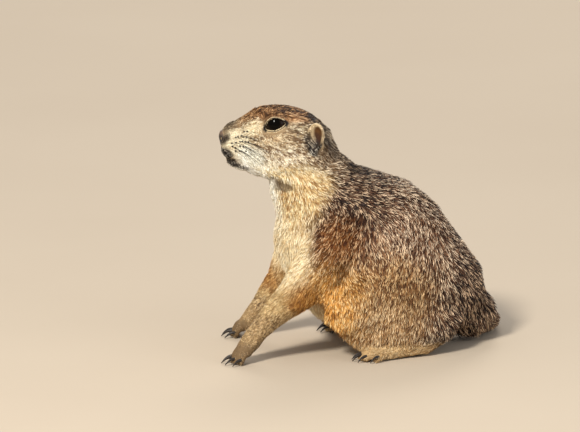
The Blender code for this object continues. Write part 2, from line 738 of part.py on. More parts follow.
def claw_rows(toe, knuckle, length, thick):
    """A claw's centre line: out of the toe's top and curving down to a point by the floor."""
    start, middle, tip = toe_points(toe, knuckle)
    way = (tip - middle).normalized()
    flat = Vector((way.x, way.y, 0)).normalized()
    root = tip - way * 0.6 + Vector((0, 0, 0.5))
    drop = root.z - 0.55
    rows = []
    for t in np.linspace(0, 1, 5):
        rise = Vector((0, 0, 0.9 * math.sin(math.pi * t) - drop * t**1.5))
        point = root + flat * length * (t - 0.08 * t * t) + rise
        size = thick * (1 - 0.78 * t)
        rows.append((*point, size * 1.15, size * 0.85))
    return rows


def build_claws(paws, material):
    """Claws on every toe, each in a socket that clears it by the gap."""
    claws = {}
    for name, frame, toes, knuckle in paw_frames():
        fore = name.startswith("fore")
        end, side = name.split("_")
        paw = paws[f"forepaw_{side}" if fore else f"hindfoot_{side}"]
        for count, toe in enumerate(toes, 1):
            length = FORE_CLAW_LENGTH if fore else HIND_CLAW_LENGTH
            rows = claw_rows(toe, knuckle, length, CLAW_THICKNESS)
            socket = bmesh.new()
            gap = JOINT_GAP / MM
            wider = [(x, y, z, high + gap, wide + gap) for x, y, z, high, wide in rows]
            add_loft(socket, wider, place=frame, rings=5, around=6, ends=POINTED_END)
            boolean(paw, object_of("socket", socket), "DIFFERENCE")
            clay = bmesh.new()
            add_loft(clay, rows, place=frame, rings=5, around=6, ends=POINTED_END)
            label = f"claw_{end}_{side}_{count}"
            claws[label] = object_of(label, clay, material)
    return claws


def settle(nodes):
    """Puts the middle of the box over the origin, with the soles on the floor."""
    points = np.vstack([points_of(obj) for obj in nodes])
    low, high = points.min(0), points.max(0)
    shift = Vector((-(low[0] + high[0]) / 2, -(low[1] + high[1]) / 2, -low[2]))
    for obj in nodes:
        obj.data.transform(Matrix.Translation(shift))


def main():
    clear_scene()
    coats = {
        "brown": finish_material("brown_coat", BROWN_COAT, 0.85),
        "tan": finish_material("tan_coat", TAN_COAT, 0.85),
        "cream": finish_material("cream_coat", CREAM_COAT, 0.85),
        "paw": finish_material("paw_coat", PAW_COAT, 0.8),
        "skin": finish_material("dark_skin", BLACK_SKIN, 0.5),
    }
    nodes = build_body(coats)
    nodes.update(open_eyes(nodes["head"], finish_material("eye_black", EYE_BLACK, 0.05)))
    cut_mouth(nodes["head"], nodes["nose"])
    for side, sign in SIDES.items():
        nodes[f"ear_{side}"] = build_ear(f"ear_{side}", sign, (nodes["head"], nodes["neck"]), coats["tan"])
    nodes.update(build_claws(nodes, finish_material("claw_black", CLAW_BLACK, 0.35)))
    settle(list(nodes.values()))
    for obj in nodes.values():
        obj.data.shade_smooth()
        obj.data.set_sharp_from_angle(angle=math.radians(50))


main()
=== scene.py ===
"""The looks of a black-tailed prairie dog sitting on its haunches, at life size, round its CAD solids.

One skin replaces the solids of flesh and lies inside them by the depth of the coat. The coat is made
of tapered tufts that follow the lie of the hair. Skin and coat take their colours from the same
marks. Tables of body places are in millimetres, in the body's or the head's own frame.
"""

import math

import bmesh
import bpy
import numpy as np
from mathutils import Matrix, Vector
from mathutils.bvhtree import BVHTree


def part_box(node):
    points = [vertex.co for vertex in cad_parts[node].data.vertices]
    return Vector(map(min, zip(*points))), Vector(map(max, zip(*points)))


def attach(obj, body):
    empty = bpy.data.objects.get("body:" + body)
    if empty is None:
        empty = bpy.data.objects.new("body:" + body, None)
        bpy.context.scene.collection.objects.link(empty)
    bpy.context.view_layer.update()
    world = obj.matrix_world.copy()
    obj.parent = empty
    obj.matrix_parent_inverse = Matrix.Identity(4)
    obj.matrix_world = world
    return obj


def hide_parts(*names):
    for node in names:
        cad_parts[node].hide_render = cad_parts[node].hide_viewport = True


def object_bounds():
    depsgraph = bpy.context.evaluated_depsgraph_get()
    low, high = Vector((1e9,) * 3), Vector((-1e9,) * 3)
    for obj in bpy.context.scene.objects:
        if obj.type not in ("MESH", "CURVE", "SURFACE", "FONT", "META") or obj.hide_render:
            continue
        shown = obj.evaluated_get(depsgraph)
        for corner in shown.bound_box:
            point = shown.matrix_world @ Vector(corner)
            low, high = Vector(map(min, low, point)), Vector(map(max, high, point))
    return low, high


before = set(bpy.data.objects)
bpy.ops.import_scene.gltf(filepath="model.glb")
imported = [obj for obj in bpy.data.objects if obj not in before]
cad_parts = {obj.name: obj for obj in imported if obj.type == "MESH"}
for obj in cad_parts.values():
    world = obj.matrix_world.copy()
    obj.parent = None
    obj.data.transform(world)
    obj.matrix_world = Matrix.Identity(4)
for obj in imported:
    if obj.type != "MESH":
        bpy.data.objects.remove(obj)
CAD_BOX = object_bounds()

MM = 0.001
SIDES = {"left": -1, "right": 1}
EYE_RADIUS = 7.6
LID_RADIUS = 8.8
HEAD_TURN = math.radians(-15)
HEAD_TIP = math.radians(-5)
EYE_PLACE = Vector((0.2, 15.2, 0.9))
EYE_OUT = Vector((-0.20, 1.0, 0.16)).normalized()
EYE_SLANT = 14
BETWEEN_EYES = Vector((-54.2, 5.7, 148.1))
SLIT_HALF_LENGTH = 7.5
UPPER_LID_ARCH = 4.9
LOWER_LID_ARCH = 2.9
SLIT_DROP = 1.7
NOSE_CENTRE = np.array((-35.6, 0, -9.8))
NOSE_RADII = np.array((6.0, 5.4, 5.0))

CLAW_NODES = sorted(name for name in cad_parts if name.startswith("claw_"))
FLESH_NODES = ["head", "neck", "torso", "tail", "tail_tip", "ear_left", "ear_right"]
FLESH_NODES += [f"{limb}_{side}" for limb in ("foreleg", "forepaw", "haunch", "hindfoot") for side in SIDES]

rng = np.random.default_rng(11)


def middle(node):
    low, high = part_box(node)
    return (low + high) / 2


def head_frame():
    """Millimetres from between the eyes, X to the back of the head and Z up it, to the scene."""
    axes = Matrix.Rotation(HEAD_TURN, 4, "Z") @ Matrix.Rotation(HEAD_TIP, 4, "X")
    between = (middle("eye_left") + middle("eye_right")) / 2
    local = Matrix.Translation((-EYE_PLACE.x, 0, -EYE_PLACE.z))
    return Matrix.Translation(between) @ axes @ Matrix.Scale(MM, 4) @ local


HEAD = head_frame()
BODY = Matrix.Translation(HEAD.translation - BETWEEN_EYES * MM) @ Matrix.Scale(MM, 4)


def moved(points, matrix):
    """An array of points through a matrix."""
    array = np.array(matrix)
    return points @ array[:3, :3].T + array[:3, 3]


def in_frame(points, place):
    return moved(points, place.inverted())


def unit(vectors):
    return vectors / np.maximum(np.linalg.norm(vectors, axis=-1, keepdims=True), 1e-12)


def smoothstep(low, high, value):
    t = np.clip((value - low) / (high - low), 0, 1)
    return t * t * (3 - 2 * t)


def grain(points, cell, seed=0):
    """Smooth random values between -1 and 1 that change over about one cell."""
    place = points / cell
    corner = np.floor(place).astype(np.int64)
    part = place - corner
    part = part * part * (3 - 2 * part)
    value = np.zeros(len(points))
    for step in np.ndindex(2, 2, 2):
        mix = ((corner + step) * (73856093, 19349663, 83492791)).sum(1) + seed * 668265263
        mix = (mix ^ (mix >> 13)) * 1274126177 & 0xFFFFFFFF
        mix = (mix ^ (mix >> 15)) & 0xFFFF
        value += np.where(step, part, 1 - part).prod(1) * (mix / 32767.5 - 1)
    return value


def eye_place(side):
    """Millimetres in the eye's own frame, X back along the slit, Y out of the eye, Z up, to the scene."""
    out = Vector((EYE_OUT.x, EYE_OUT.y * side, EYE_OUT.z))
    back = (Vector((1, 0, 0)) - out * out.x).normalized()
    slit = Matrix.Rotation(math.radians(EYE_SLANT) * -side, 3, out) @ back
    high = slit.cross(out) * side
    axes = Matrix((slit, out, high)).transposed().to_4x4()
    centre = Vector((EYE_PLACE.x, EYE_PLACE.y * side, EYE_PLACE.z))
    return HEAD @ Matrix.Translation(centre) @ axes


def lid_outline(extra, steps=40):
    """The almond between the lids in the eye's own X and Z, wider by extra."""
    found = []
    for i in range(steps):
        a = 2 * math.pi * i / steps
        t = -math.cos(a)
        arch = UPPER_LID_ARCH if math.sin(a) >= 0 else -LOWER_LID_ARCH
        z = arch * (1 - t * t)
        grow = math.copysign(extra, arch) * (1 - t * t) ** 0.5
        found.append((t * (SLIT_HALF_LENGTH + extra), z + grow - SLIT_DROP))
    return found


def almond_gap(local):
    """How far points in an eye's frame lie outside the opening between the lids, negative within it."""
    gap = np.full(len(local), 99.0)
    near = (np.linalg.norm(local, axis=1) < 14) & (local[:, 1] > 0)
    x, z = local[near, 0], local[near, 2]
    outline = np.array(lid_outline(0))
    distance = np.linalg.norm(local[near][:, None, (0, 2)] - outline, axis=2).min(1)
    share = 1 - np.minimum(np.abs(x) / SLIT_HALF_LENGTH, 1) ** 2
    lifted = z + SLIT_DROP
    within = (lifted < UPPER_LID_ARCH * share) & (lifted > -LOWER_LID_ARCH * share)
    gap[near] = np.where(within, -distance, distance)
    return gap


# ---------------------------------------------------------------- meshes


def link(name, mesh):
    obj = bpy.data.objects.new(name, mesh)
    bpy.context.scene.collection.objects.link(obj)
    return obj


def object_of(name, clay):
    mesh = bpy.data.meshes.new(name)
    clay.to_mesh(mesh)
    clay.free()
    return link(name, mesh)


def apply_modifiers(obj):
    graph = bpy.context.evaluated_depsgraph_get()
    mesh = bpy.data.meshes.new_from_object(obj.evaluated_get(graph))
    mesh.name = obj.name
    old = obj.data
    obj.modifiers.clear()
    obj.data = mesh
    bpy.data.meshes.remove(old)


def points_of(mesh):
    points = np.empty(len(mesh.vertices) * 3)
    mesh.vertices.foreach_get("co", points)
    return points.reshape(-1, 3)


def set_points(mesh, points):
    mesh.vertices.foreach_set("co", points.ravel())
    mesh.update()


def normals_of(mesh):
    normals = np.empty(len(mesh.vertices) * 3)
    mesh.vertex_normals.foreach_get("vector", normals)
    return normals.reshape(-1, 3)


def relax(mesh, strength, rounds):
    """Moves each point towards the middle of its neighbours. strength is a number or one for each point."""
    edges = np.empty(len(mesh.edges) * 2, int)
    mesh.edges.foreach_get("vertices", edges)
    one, two = edges.reshape(-1, 2).T
    points = points_of(mesh)
    count = np.bincount(one, minlength=len(points)) + np.bincount(two, minlength=len(points))
    strength = np.broadcast_to(strength, len(points))
    for _ in range(rounds):
        for axis in range(3):
            value = points[:, axis]
            total = np.bincount(one, value[two], len(points)) + np.bincount(two, value[one], len(points))
            points[:, axis] = value + strength * (total / np.maximum(count, 1) - value)
    set_points(mesh, points)


def merged(names, swell):
    """One bmesh of merged copies of CAD nodes, swollen a little so that they overlap."""
    clay = bmesh.new()
    for name in names:
        clay.from_mesh(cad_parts[name].data)
    bmesh.ops.remove_doubles(clay, verts=clay.verts, dist=2e-6)
    clay.normal_update()
    for vertex in clay.verts:
        vertex.co += vertex.normal * swell
    return clay


def remesh(obj, voxel):
    fuse = obj.modifiers.new("fuse", "REMESH")
    fuse.mode = "VOXEL"
    fuse.voxel_size = voxel
    apply_modifiers(obj)


# ---------------------------------------------------------------- the lie and length of the coat

# Each limb is a line down its middle. A row is x, y, z and radius, then the coat's depth, the
# length of its tufts and the width of a blade there. The hair lies towards the line's end.
HEAD_LINE = [
    (-40, 0, -12, 9, 0.4, 1.3, 0.18),
    (-28, 0, -14, 13, 0.6, 1.7, 0.2),
    (-12, 0, -14, 19, 0.9, 2.4, 0.25),
    (4, 0, -14, 24, 1.2, 3.1, 0.3),
    (22, 0, -16, 25, 1.6, 4.0, 0.32),
    (36, 0, -18, 22, 1.9, 4.6, 0.3),
]
TRUNK_LINE = [
    (-36, 1, 134, 20, 1.8, 4.2, 0.3),
    (-34.5, 0, 117.5, 24, 2.1, 4.8, 0.33),
    (-27, 0, 101, 30, 2.4, 5.6, 0.33),
    (-13, 0, 85, 37, 2.5, 5.8, 0.33),
    (6, 0, 68, 43, 2.6, 6.0, 0.34),
    (24.5, 0, 51.5, 45, 2.6, 6.2, 0.34),
    (43, 0, 39.5, 40, 2.7, 6.4, 0.35),
    (60.5, 0, 28.5, 31, 2.8, 6.8, 0.37),
    (71.5, 0, 20, 20, 2.8, 7.0, 0.37),
]
FORELEG_LINES = {
    "left": [
        (-16, -27, 84, 17, 2.5, 5.6, 0.33),
        (-35.5, -31.5, 62, 15.5, 2.1, 5.0, 0.3),
        (-49, -31, 44.5, 12.5, 1.6, 4.2, 0.32),
        (-62, -29, 33.5, 9.8, 1.2, 3.4, 0.3),
        (-72.5, -27.8, 22.6, 7.7, 0.9, 2.6, 0.25),
        (-80, -27.2, 14.5, 6.5, 0.5, 1.9, 0.2),
        (-87, -27, 7.5, 5.5, 0.3, 1.4, 0.17),
        (-94, -26, 3.5, 4.5, 0.22, 1.1, 0.15),
    ],
    "right": [
        (-18, 27, 84, 17, 2.5, 5.6, 0.33),
        (-31.5, 31, 62, 14.5, 2.1, 5.0, 0.3),
        (-38.5, 35, 45, 11.8, 1.6, 4.2, 0.32),
        (-46, 37.5, 32.5, 9.4, 1.2, 3.4, 0.3),
        (-54, 38.7, 22.4, 7.7, 0.9, 2.6, 0.25),
        (-60.5, 40.2, 14.5, 6.5, 0.5, 1.9, 0.2),
        (-66.5, 43, 7.5, 5.5, 0.3, 1.4, 0.17),
        (-73.5, 46.5, 3.5, 4.5, 0.22, 1.1, 0.15),
    ],
}
HAUNCH_LINE = [
    (30, 20, 78, 22, 2.6, 6.2, 0.34),
    (22, 31, 52, 25, 2.6, 6.2, 0.34),
    (12, 34, 28, 24, 2.5, 6.0, 0.34),
    (9, 36, 14, 18, 2.2, 5.4, 0.31),
]
FOOT_LINE = [
    (40, 37, 7, 7, 0.9, 3.0, 0.28),
    (22, 39, 6, 7, 0.7, 2.4, 0.24),
    (4, 41.5, 5, 7, 0.45, 1.7, 0.19),
    (-12, 43.5, 3, 5, 0.3, 1.2, 0.16),
]
TAIL_LINE = [
    (66, 0, 16, 15, 2.6, 6.0, 0.34),
    (79, 4, 12, 11, 2.2, 6.0, 0.34),
    (88, 14, 8.8, 9, 2.0, 6.5, 0.33),
    (91, 29, 6.8, 8, 2.2, 8.0, 0.34),
    (87, 45, 5.8, 7, 2.2, 8.5, 0.34),
    (79, 57, 4.8, 6, 2.2, 7.0, 0.33),
    (72, 66, 4.4, 4, 2.0, 4.5, 0.31),
]


def mirrored(rows, side):
    return [(row[0], row[1] * side, *row[2:]) for row in rows]


def limb_lines():
    """Every limb's rows in the body's frame."""
    to_body = BODY.inverted() @ HEAD
    head = [(*(to_body @ Vector(row[:3])), *row[3:]) for row in HEAD_LINE]
    lines = {"head": head, "trunk": TRUNK_LINE, "tail": TAIL_LINE}
    for side, sign in SIDES.items():
        lines[f"foreleg_{side}"] = FORELEG_LINES[side]
        lines[f"haunch_{side}"] = mirrored(HAUNCH_LINE, sign)
        lines[f"foot_{side}"] = mirrored(FOOT_LINE, sign)
    return {name: np.array(rows, float) for name, rows in lines.items()}


LIMBS = limb_lines()


def nearest_on_line(points, rows):
    """For each point: its distance in radii, the line's direction there, and the row's last numbers."""
    best = np.full(len(points), np.inf)
    way = np.zeros((len(points), 3))
    found = np.zeros((len(points), rows.shape[1] - 4))
    for one, two in zip(rows, rows[1:]):
        step = two[:3] - one[:3]
        t = np.clip((points - one[:3]) @ step / (step @ step), 0, 1)[:, None]
        row = one + t * (two - one)
        gap = np.linalg.norm(points - row[:, :3], axis=1) / row[:, 3]
        nearer = gap < best
        best[nearer] = gap[nearer]
        way[nearer] = step / np.linalg.norm(step)
        found[nearer] = row[nearer, 4:]
    return best, way, found


# The coat's depth, length and width on the lids and ears and on the tuft before each ear
LID_COAT = np.array((0.25, 1.1, 0.18))
EAR_COAT = np.array((0.25, 1.7, 0.2))
EAR_TUFT = np.array((1.2, 4.8, 0.3))
EAR_TUFT_LIE = np.array((0.62, 0.12, -0.78))


def coat_field(points, normals):
    """The lie of the hair along the skin, and (depth, length, width) of the coat, at scene points."""
    body = in_frame(points, BODY)
    lie = np.zeros_like(points)
    measures = np.zeros((len(points), 3))
    total = np.zeros(len(points))
    shares = {}
    for name, rows in LIMBS.items():
        gap, way, found = nearest_on_line(body, rows)
        weight = 1 / (gap**2 + 0.06) ** 3.5
        if name == "trunk":
            low = smoothstep(0.75, -0.35, normals[:, 2])
            way = unit(way + np.outer(1.5 * low, (-0.12, 0, -1)))
            neck = smoothstep(92, 112, body[:, 2]) * smoothstep(-0.75, 0.1, normals[:, 0])
            way = unit(way + np.outer(0.75 * neck, (1, 0, 0)))
        if name == "head":
            below = smoothstep(0.35, -0.25, normals[:, 2]) * smoothstep(0.1, 0.6, np.abs(normals[:, 1]))
            way = unit(way + np.outer(0.62 * below, (0, 0, -1)))
        lie += weight[:, None] * way
        measures += weight[:, None] * found
        total += weight
        shares[name] = weight
    measures /= total[:, None]
    shares = {name: weight / total for name, weight in shares.items()}
    head = in_frame(points, HEAD)
    lie = unit(lie)
    for side in SIDES.values():
        centre = np.array((EYE_PLACE.x, EYE_PLACE.y * side, EYE_PLACE.z))
        gap = np.linalg.norm(head - centre, axis=1)
        near = smoothstep(16, 8.5, gap)
        away = unit(points - moved(centre[None], HEAD))
        towards = np.minimum((lie * away).sum(1), 0)
        lie = lie - (1.15 * near * towards)[:, None] * away
        lie = unit(lie + (0.35 * near)[:, None] * away)
        lids = smoothstep(4.5, 1.0, almond_gap(in_frame(points, eye_place(side))))[:, None]
        measures = measures * (1 - lids) + lids * LID_COAT
        ear = (head - np.array((27, 24.6 * side, -6))) / (8, 7, 12)
        pinna = smoothstep(1.1, 0.85, np.linalg.norm(ear, axis=1))[:, None]
        measures = measures * (1 - pinna) + pinna * EAR_COAT
        before = (head - np.array((21.5, 24 * side, -9.8))) / (4.6, 5, 6.2)
        tuft = smoothstep(1.15, 0.8, np.linalg.norm(before, axis=1))[:, None]
        measures = measures * (1 - tuft) + tuft * EAR_TUFT
        drop = moved(EAR_TUFT_LIE[None] * (1, side, 1), HEAD) - moved(np.zeros((1, 3)), HEAD)
        lie = unit(lie * (1 - tuft) + tuft * unit(drop))
    lie = unit(lie - normals * (lie * normals).sum(1, keepdims=True))
    return lie, measures, shares


# ---------------------------------------------------------------- marks


def paint(red, green, blue):
    """A linear colour from the screen's numbers."""
    value = np.array((red, green, blue)) / 255
    return np.where(value <= 0.04045, value / 12.92, ((value + 0.055) / 1.055) ** 2.4)


# A coat is its ground colour, its dark and pale ticks, and the share of each among the hairs
COATS = {
    "back": ((108, 73, 49), (22, 9, 5), (238, 212, 180), 0.45, 0.28),
    "upper_flank": ((148, 108, 78), (64, 32, 18), (240, 214, 182), 0.33, 0.31),
    "mid_flank": ((150, 107, 62), (78, 42, 17), (228, 192, 140), 0.31, 0.28),
    "golden_flank": ((230, 170, 84), (152, 98, 40), (251, 220, 156), 0.24, 0.28),
    "elbow": ((172, 114, 40), (120, 70, 20), (214, 160, 84), 0.28, 0.20),
    "reddish": ((148, 91, 42), (72, 32, 9), (218, 172, 120), 0.34, 0.21),
    "saddle": ((88, 55, 34), (24, 10, 5), (222, 190, 154), 0.48, 0.22),
    # Dark fur of the nape, darkened further by painted shade on the back of the neck
    "nape_and_shade": ((46, 31, 20), (12, 7, 4), (166, 136, 104), 0.50, 0.15),
    "rump": ((80, 50, 32), (13, 5, 3), (218, 184, 148), 0.47, 0.27),
    "belly": ((226, 204, 160), (188, 158, 110), (244, 230, 196), 0.12, 0.30),
    "chest": ((226, 206, 166), (196, 168, 120), (246, 234, 204), 0.14, 0.35),
    "chest_white": ((240, 235, 218), (200, 186, 156), (253, 251, 242), 0.10, 0.45),
    "shoulder": ((236, 214, 168), (204, 168, 116), (250, 240, 208), 0.16, 0.34),
    "neck_gold": ((215, 184, 128), (154, 112, 64), (252, 238, 198), 0.30, 0.31),
    "foreleg": ((197, 165, 112), (134, 100, 56), (236, 212, 162), 0.22, 0.25),
    "wrist": ((180, 148, 102), (98, 76, 50), (226, 198, 152), 0.28, 0.22),
    "paw": ((136, 108, 72), (56, 42, 28), (204, 176, 134), 0.42, 0.22),
    "foot": ((202, 168, 118), (150, 118, 78), (232, 206, 160), 0.20, 0.25),
    "tail": ((112, 80, 55), (40, 22, 13), (190, 162, 128), 0.36, 0.26),
    "tail_black": ((26, 19, 15), (10, 8, 6), (64, 46, 33), 0.40, 0.10),
    "cheek": ((182, 156, 118), (96, 66, 42), (246, 232, 202), 0.33, 0.31),
    "crown": ((90, 57, 34), (20, 10, 5), (204, 158, 110), 0.48, 0.22),
    "brow_back": ((172, 122, 78), (88, 52, 24), (226, 188, 142), 0.30, 0.26),
    "temple": ((168, 146, 112), (88, 64, 42), (236, 222, 192), 0.34, 0.27),
    "lower_flank": ((184, 144, 96), (106, 69, 38), (240, 212, 168), 0.28, 0.30),
    "brow": ((134, 90, 50), (52, 27, 11), (208, 162, 112), 0.35, 0.25),
    "bridge": ((190, 147, 99), (128, 90, 52), (224, 190, 146), 0.28, 0.24),
    "bridge_end": ((132, 114, 88), (78, 63, 48), (192, 174, 144), 0.34, 0.22),
    "eye_spot": ((226, 206, 168), (186, 158, 116), (250, 240, 208), 0.15, 0.35),
    "eye_rim": ((226, 204, 164), (190, 160, 116), (250, 236, 204), 0.08, 0.40),
    "under_eye": ((186, 160, 124), (122, 94, 64), (234, 218, 184), 0.28, 0.30),
    "pad": ((222, 208, 176), (176, 156, 122), (250, 242, 214), 0.14, 0.35),
    "lip": ((234, 230, 212), (190, 182, 160), (252, 250, 238), 0.12, 0.40),
    # Dark lip hair with painted shade in the crease of the mouth and under the lip
    "mouth_line_and_shade": ((46, 34, 28), (14, 9, 7), (186, 176, 158), 0.44, 0.22),
    "nose_wing": ((56, 41, 30), (24, 16, 11), (120, 100, 78), 0.40, 0.12),
    "philtrum": ((124, 112, 96), (70, 58, 46), (196, 188, 172), 0.30, 0.25),
    "chin": ((242, 238, 226), (182, 170, 150), (254, 252, 246), 0.18, 0.38),
    "jaw": ((251, 245, 224), (228, 210, 172), (255, 253, 243), 0.10, 0.38),
    "jaw_gold": ((250, 231, 186), (202, 168, 112), (255, 250, 228), 0.20, 0.34),
    # Brownish fur darkened by painted shade for the fold of the throat under the jaw
    "throat_fold_and_shade": ((90, 65, 28), (50, 31, 12), (144, 114, 64), 0.32, 0.14),
    "cheek_streak": ((214, 197, 166), (118, 82, 54), (252, 245, 226), 0.33, 0.36),
    "neck_brown": ((146, 116, 84), (66, 42, 24), (232, 212, 182), 0.36, 0.28),
    "ear_inside": ((104, 68, 30), (48, 25, 10), (142, 104, 56), 0.22, 0.10),
    # The ear's brown skin darkened by painted shade in the hollow of the ear
    "ear_hollow_shade": ((74, 46, 27), (34, 18, 10), (120, 86, 54), 0.30, 0.10),
    "ear_rim": ((222, 199, 160), (160, 134, 98), (244, 228, 196), 0.15, 0.30),
    "ear_tuft": ((54, 43, 34), (11, 7, 5), (204, 196, 180), 0.50, 0.22),
    "ear_front": ((58, 45, 34), (12, 8, 5), (196, 180, 156), 0.46, 0.24),
    # Near black behind the ear: dark fur with painted shade where the neck turns from the light
    "nape_dark_and_shade": ((24, 15, 10), (8, 5, 3), (96, 74, 54), 0.54, 0.09),
    "lip_front": ((58, 45, 38), (22, 15, 12), (176, 162, 142), 0.44, 0.17),
    "eye_corner": ((20, 14, 11), (10, 7, 5), (50, 38, 30), 0.40, 0.10),
}

# A mark is laid over those before it: coat, frame, centre, reach, softness of its edge, strength.
# Sideways places count outwards on both sides.
MARKS = [
    ("upper_flank", "body", (24, 38, 80), (40, 26, 28), 0.5, 0.8),
    ("mid_flank", "body", (2, 48, 44), (40, 26, 30), 0.5, 1.0),
    ("rump", "body", (70, 16, 30), (26, 40, 30), 0.5, 0.9),
    ("lower_flank", "body", (-12, 44, 18), (38, 26, 24), 0.5, 1.0),
    ("golden_flank", "body", (-32, 38, 42), (20, 30, 29), 0.7, 0.7),
    ("golden_flank", "body", (-37, 38, 34), (15, 28, 22), 0.5, 1.0),
    ("saddle", "body", (-16, 34, 98), (26, 24, 20), 0.5, 0.9),
    ("reddish", "body", (-22, 42, 80), (18, 18, 16), 0.6, 0.9),
    ("belly", "body", (-16, 0, 16), (56, 26, 28), 0.35, 1.0),
    ("chest", "body", (-60, 0, 72), (20, 28, 44), 0.3, 1.0),
    ("foreleg", "body", (-58, 32, 40), (22, 20, 24), 0.35, 1.0),
    ("shoulder", "body", (-52, 27, 76), (14, 20, 32), 0.35, 1.0),
    ("elbow", "body", (-45, 40, 42), (12, 12, 12), 0.5, 0.9),
    ("wrist", "body", (-68, 34, 18), (26, 20, 14), 0.35, 1.0),
    ("paw", "body", (-84, 34, 3), (34, 24, 11), 0.3, 1.0),
    ("foot", "body", (8, 40, 3), (46, 14, 10), 0.3, 1.0),
    # The nape's dark coat: darker fur with painted shade on the back of the neck
    ("nape_and_shade", "body", (-14, 0, 124), (20, 18, 26), 0.45, 1.0),
    ("neck_gold", "body", (-46, 20, 108), (15, 14, 20), 0.4, 1.0),
    ("tail", "body", (88, 20, 8), (16, 26, 14), 0.3, 1.0),
    ("tail_black", "body", (80, 62, 4), (22, 26, 12), 0.2, 1.0),
    ("cheek", "head", (-2, 0, -14), (44, 34, 26), 0.15, 1.0),
    ("neck_brown", "head", (37, 16, -18), (12, 16, 15), 0.45, 0.9),
    ("crown", "head", (8, 0, 12), (32, 25, 12), 0.14, 1.0),
    # The nape's dark coat: darker fur with painted shade on the back of the neck
    ("nape_and_shade", "head", (30, 0, 3), (13, 17, 8), 0.35, 0.8),
    ("brow", "head", (-10, 0, 10), (11, 16, 5), 0.5, 0.9),
    ("brow_back", "head", (11, 18, 5.5), (9, 7, 4.5), 0.5, 0.9),
    ("brow", "head", (-3, 19, 7.5), (9, 7, 5), 0.4, 0.9),
    ("temple", "head", (13, 22, -2.5), (9, 7, 6), 0.5, 0.9),
    ("bridge", "head", (-21, 0, 4), (10, 9, 7), 0.45, 1.0),
    ("bridge_end", "head", (-32, 0, -1), (9, 8, 6), 0.45, 1.0),
    ("brow", "head", (-12, 14, 7.5), (7, 8, 4.4), 0.5, 0.9),
    ("brow", "head", (-16, 6, 6.5), (6, 11, 5), 0.5, 0.8),
    ("crown", "head", (-8, 0, 13.5), (15, 13.5, 5), 0.4, 0.9),
    ("eye_spot", "head", (-15, 14, -2.2), (7, 6, 4.8), 0.4, 1.0),
    ("pad", "head", (-26, 10, -12), (11, 9, 8), 0.3, 1.0),
    ("lip", "head", (-17, 14, -20.5), (10, 9, 7.5), 0.35, 1.0),
    ("jaw", "head", (0, 14, -31), (18, 14, 8), 0.35, 1.0),
    ("jaw_gold", "head", (9, 16, -30), (16, 14, 7), 0.45, 1.0),
    ("neck_gold", "head", (20, 16, -36), (13, 12, 8), 0.5, 0.9),
    # Under the jaw: brownish fur with painted shade in the fold of the throat
    ("throat_fold_and_shade", "head", (-1.5, 9.5, -35), (6, 8, 3), 0.4, 0.85),
    ("throat_fold_and_shade", "head", (4.5, 15, -36.5), (7, 8, 3), 0.4, 0.85),
    ("chin", "head", (-21, 0, -30), (16, 13, 8), 0.35, 1.0),
    ("under_eye", "head", (0, 20, -7), (12, 8, 5), 0.5, 0.8),
    ("cheek_streak", "head", (2, 23, -18), (12, 7, 5), 0.6, 0.7),
    ("chest_white", "body", (-62, -2, 100), (10, 10, 20), 0.5, 1.0),
    ("philtrum", "head", (-35, 0, -15.5), (3.6, 5, 3), 0.3, 1.0),
    ("lip_front", "head", (-32.8, 9.6, -18.0), (4.0, 5.0, 3.0), 0.35, 1.0),
    # Along the mouth: dark lip hair and painted shade in its crease and under the lip
    ("mouth_line_and_shade", "head", (-34.6, 6.6, -17.8), (2.2, 4.8, 2.6), 0.35, 1.0),
    ("mouth_line_and_shade", "head", (-33.2, 7.0, -21.2), (2.9, 4.8, 2.6), 0.35, 1.0),
    ("mouth_line_and_shade", "head", (-30.2, 6.4, -24.2), (3.4, 5.0, 2.9), 0.35, 1.0),
    ("mouth_line_and_shade", "head", (-26.8, 6.8, -26.2), (3.2, 4.8, 2.3), 0.4, 0.95),
    ("mouth_line_and_shade", "head", (-23.4, 8.0, -27.0), (3.2, 4.6, 1.6), 0.45, 0.9),
    ("mouth_line_and_shade", "head", (-20.2, 9.2, -27.9), (3.0, 4.2, 1.1), 0.5, 0.8),
    ("mouth_line_and_shade", "head", (-30.8, 11.0, -19.4), (2.8, 3.8, 2.6), 0.35, 0.95),
    ("mouth_line_and_shade", "head", (-27.8, 9.6, -23.4), (2.8, 3.6, 1.7), 0.45, 0.85),
    ("nose_wing", "head", (-32.6, 6.5, -10.5), (3.0, 3.6, 4.2), 0.4, 0.95),
    # The nape's dark coat: darker fur with painted shade on the back of the neck
    ("nape_and_shade", "head", (41, 12, -11), (8.5, 14, 12.5), 0.4, 1.0),
    # Behind the ear: dark fur with painted shade
    ("nape_dark_and_shade", "head", (33.5, 17, -3.5), (6.0, 11, 9), 0.4, 0.95),
    ("ear_rim", "head", (27, 25.5, -6), (8, 8, 11), 0.15, 1.0),
    ("ear_inside", "head", (27.0, 25, -3.2), (3.1, 4.2, 4.2), 0.25, 1.0),
    # Painted shade in the hollow of the ear, over its brown skin
    ("ear_hollow_shade", "head", (25.9, 25, -8.0), (3.5, 4.4, 4.6), 0.3, 1.0),
    ("ear_tuft", "head", (23.4, 24.5, -12.6), (6.0, 5.2, 5.2), 0.3, 1.0),
    ("ear_front", "head", (19.0, 24, -7.8), (3.5, 5, 4.6), 0.4, 0.9),
    ("ear_front", "head", (22.2, 26, -8.4), (2.7, 4.5, 4.0), 0.35, 0.85),
]


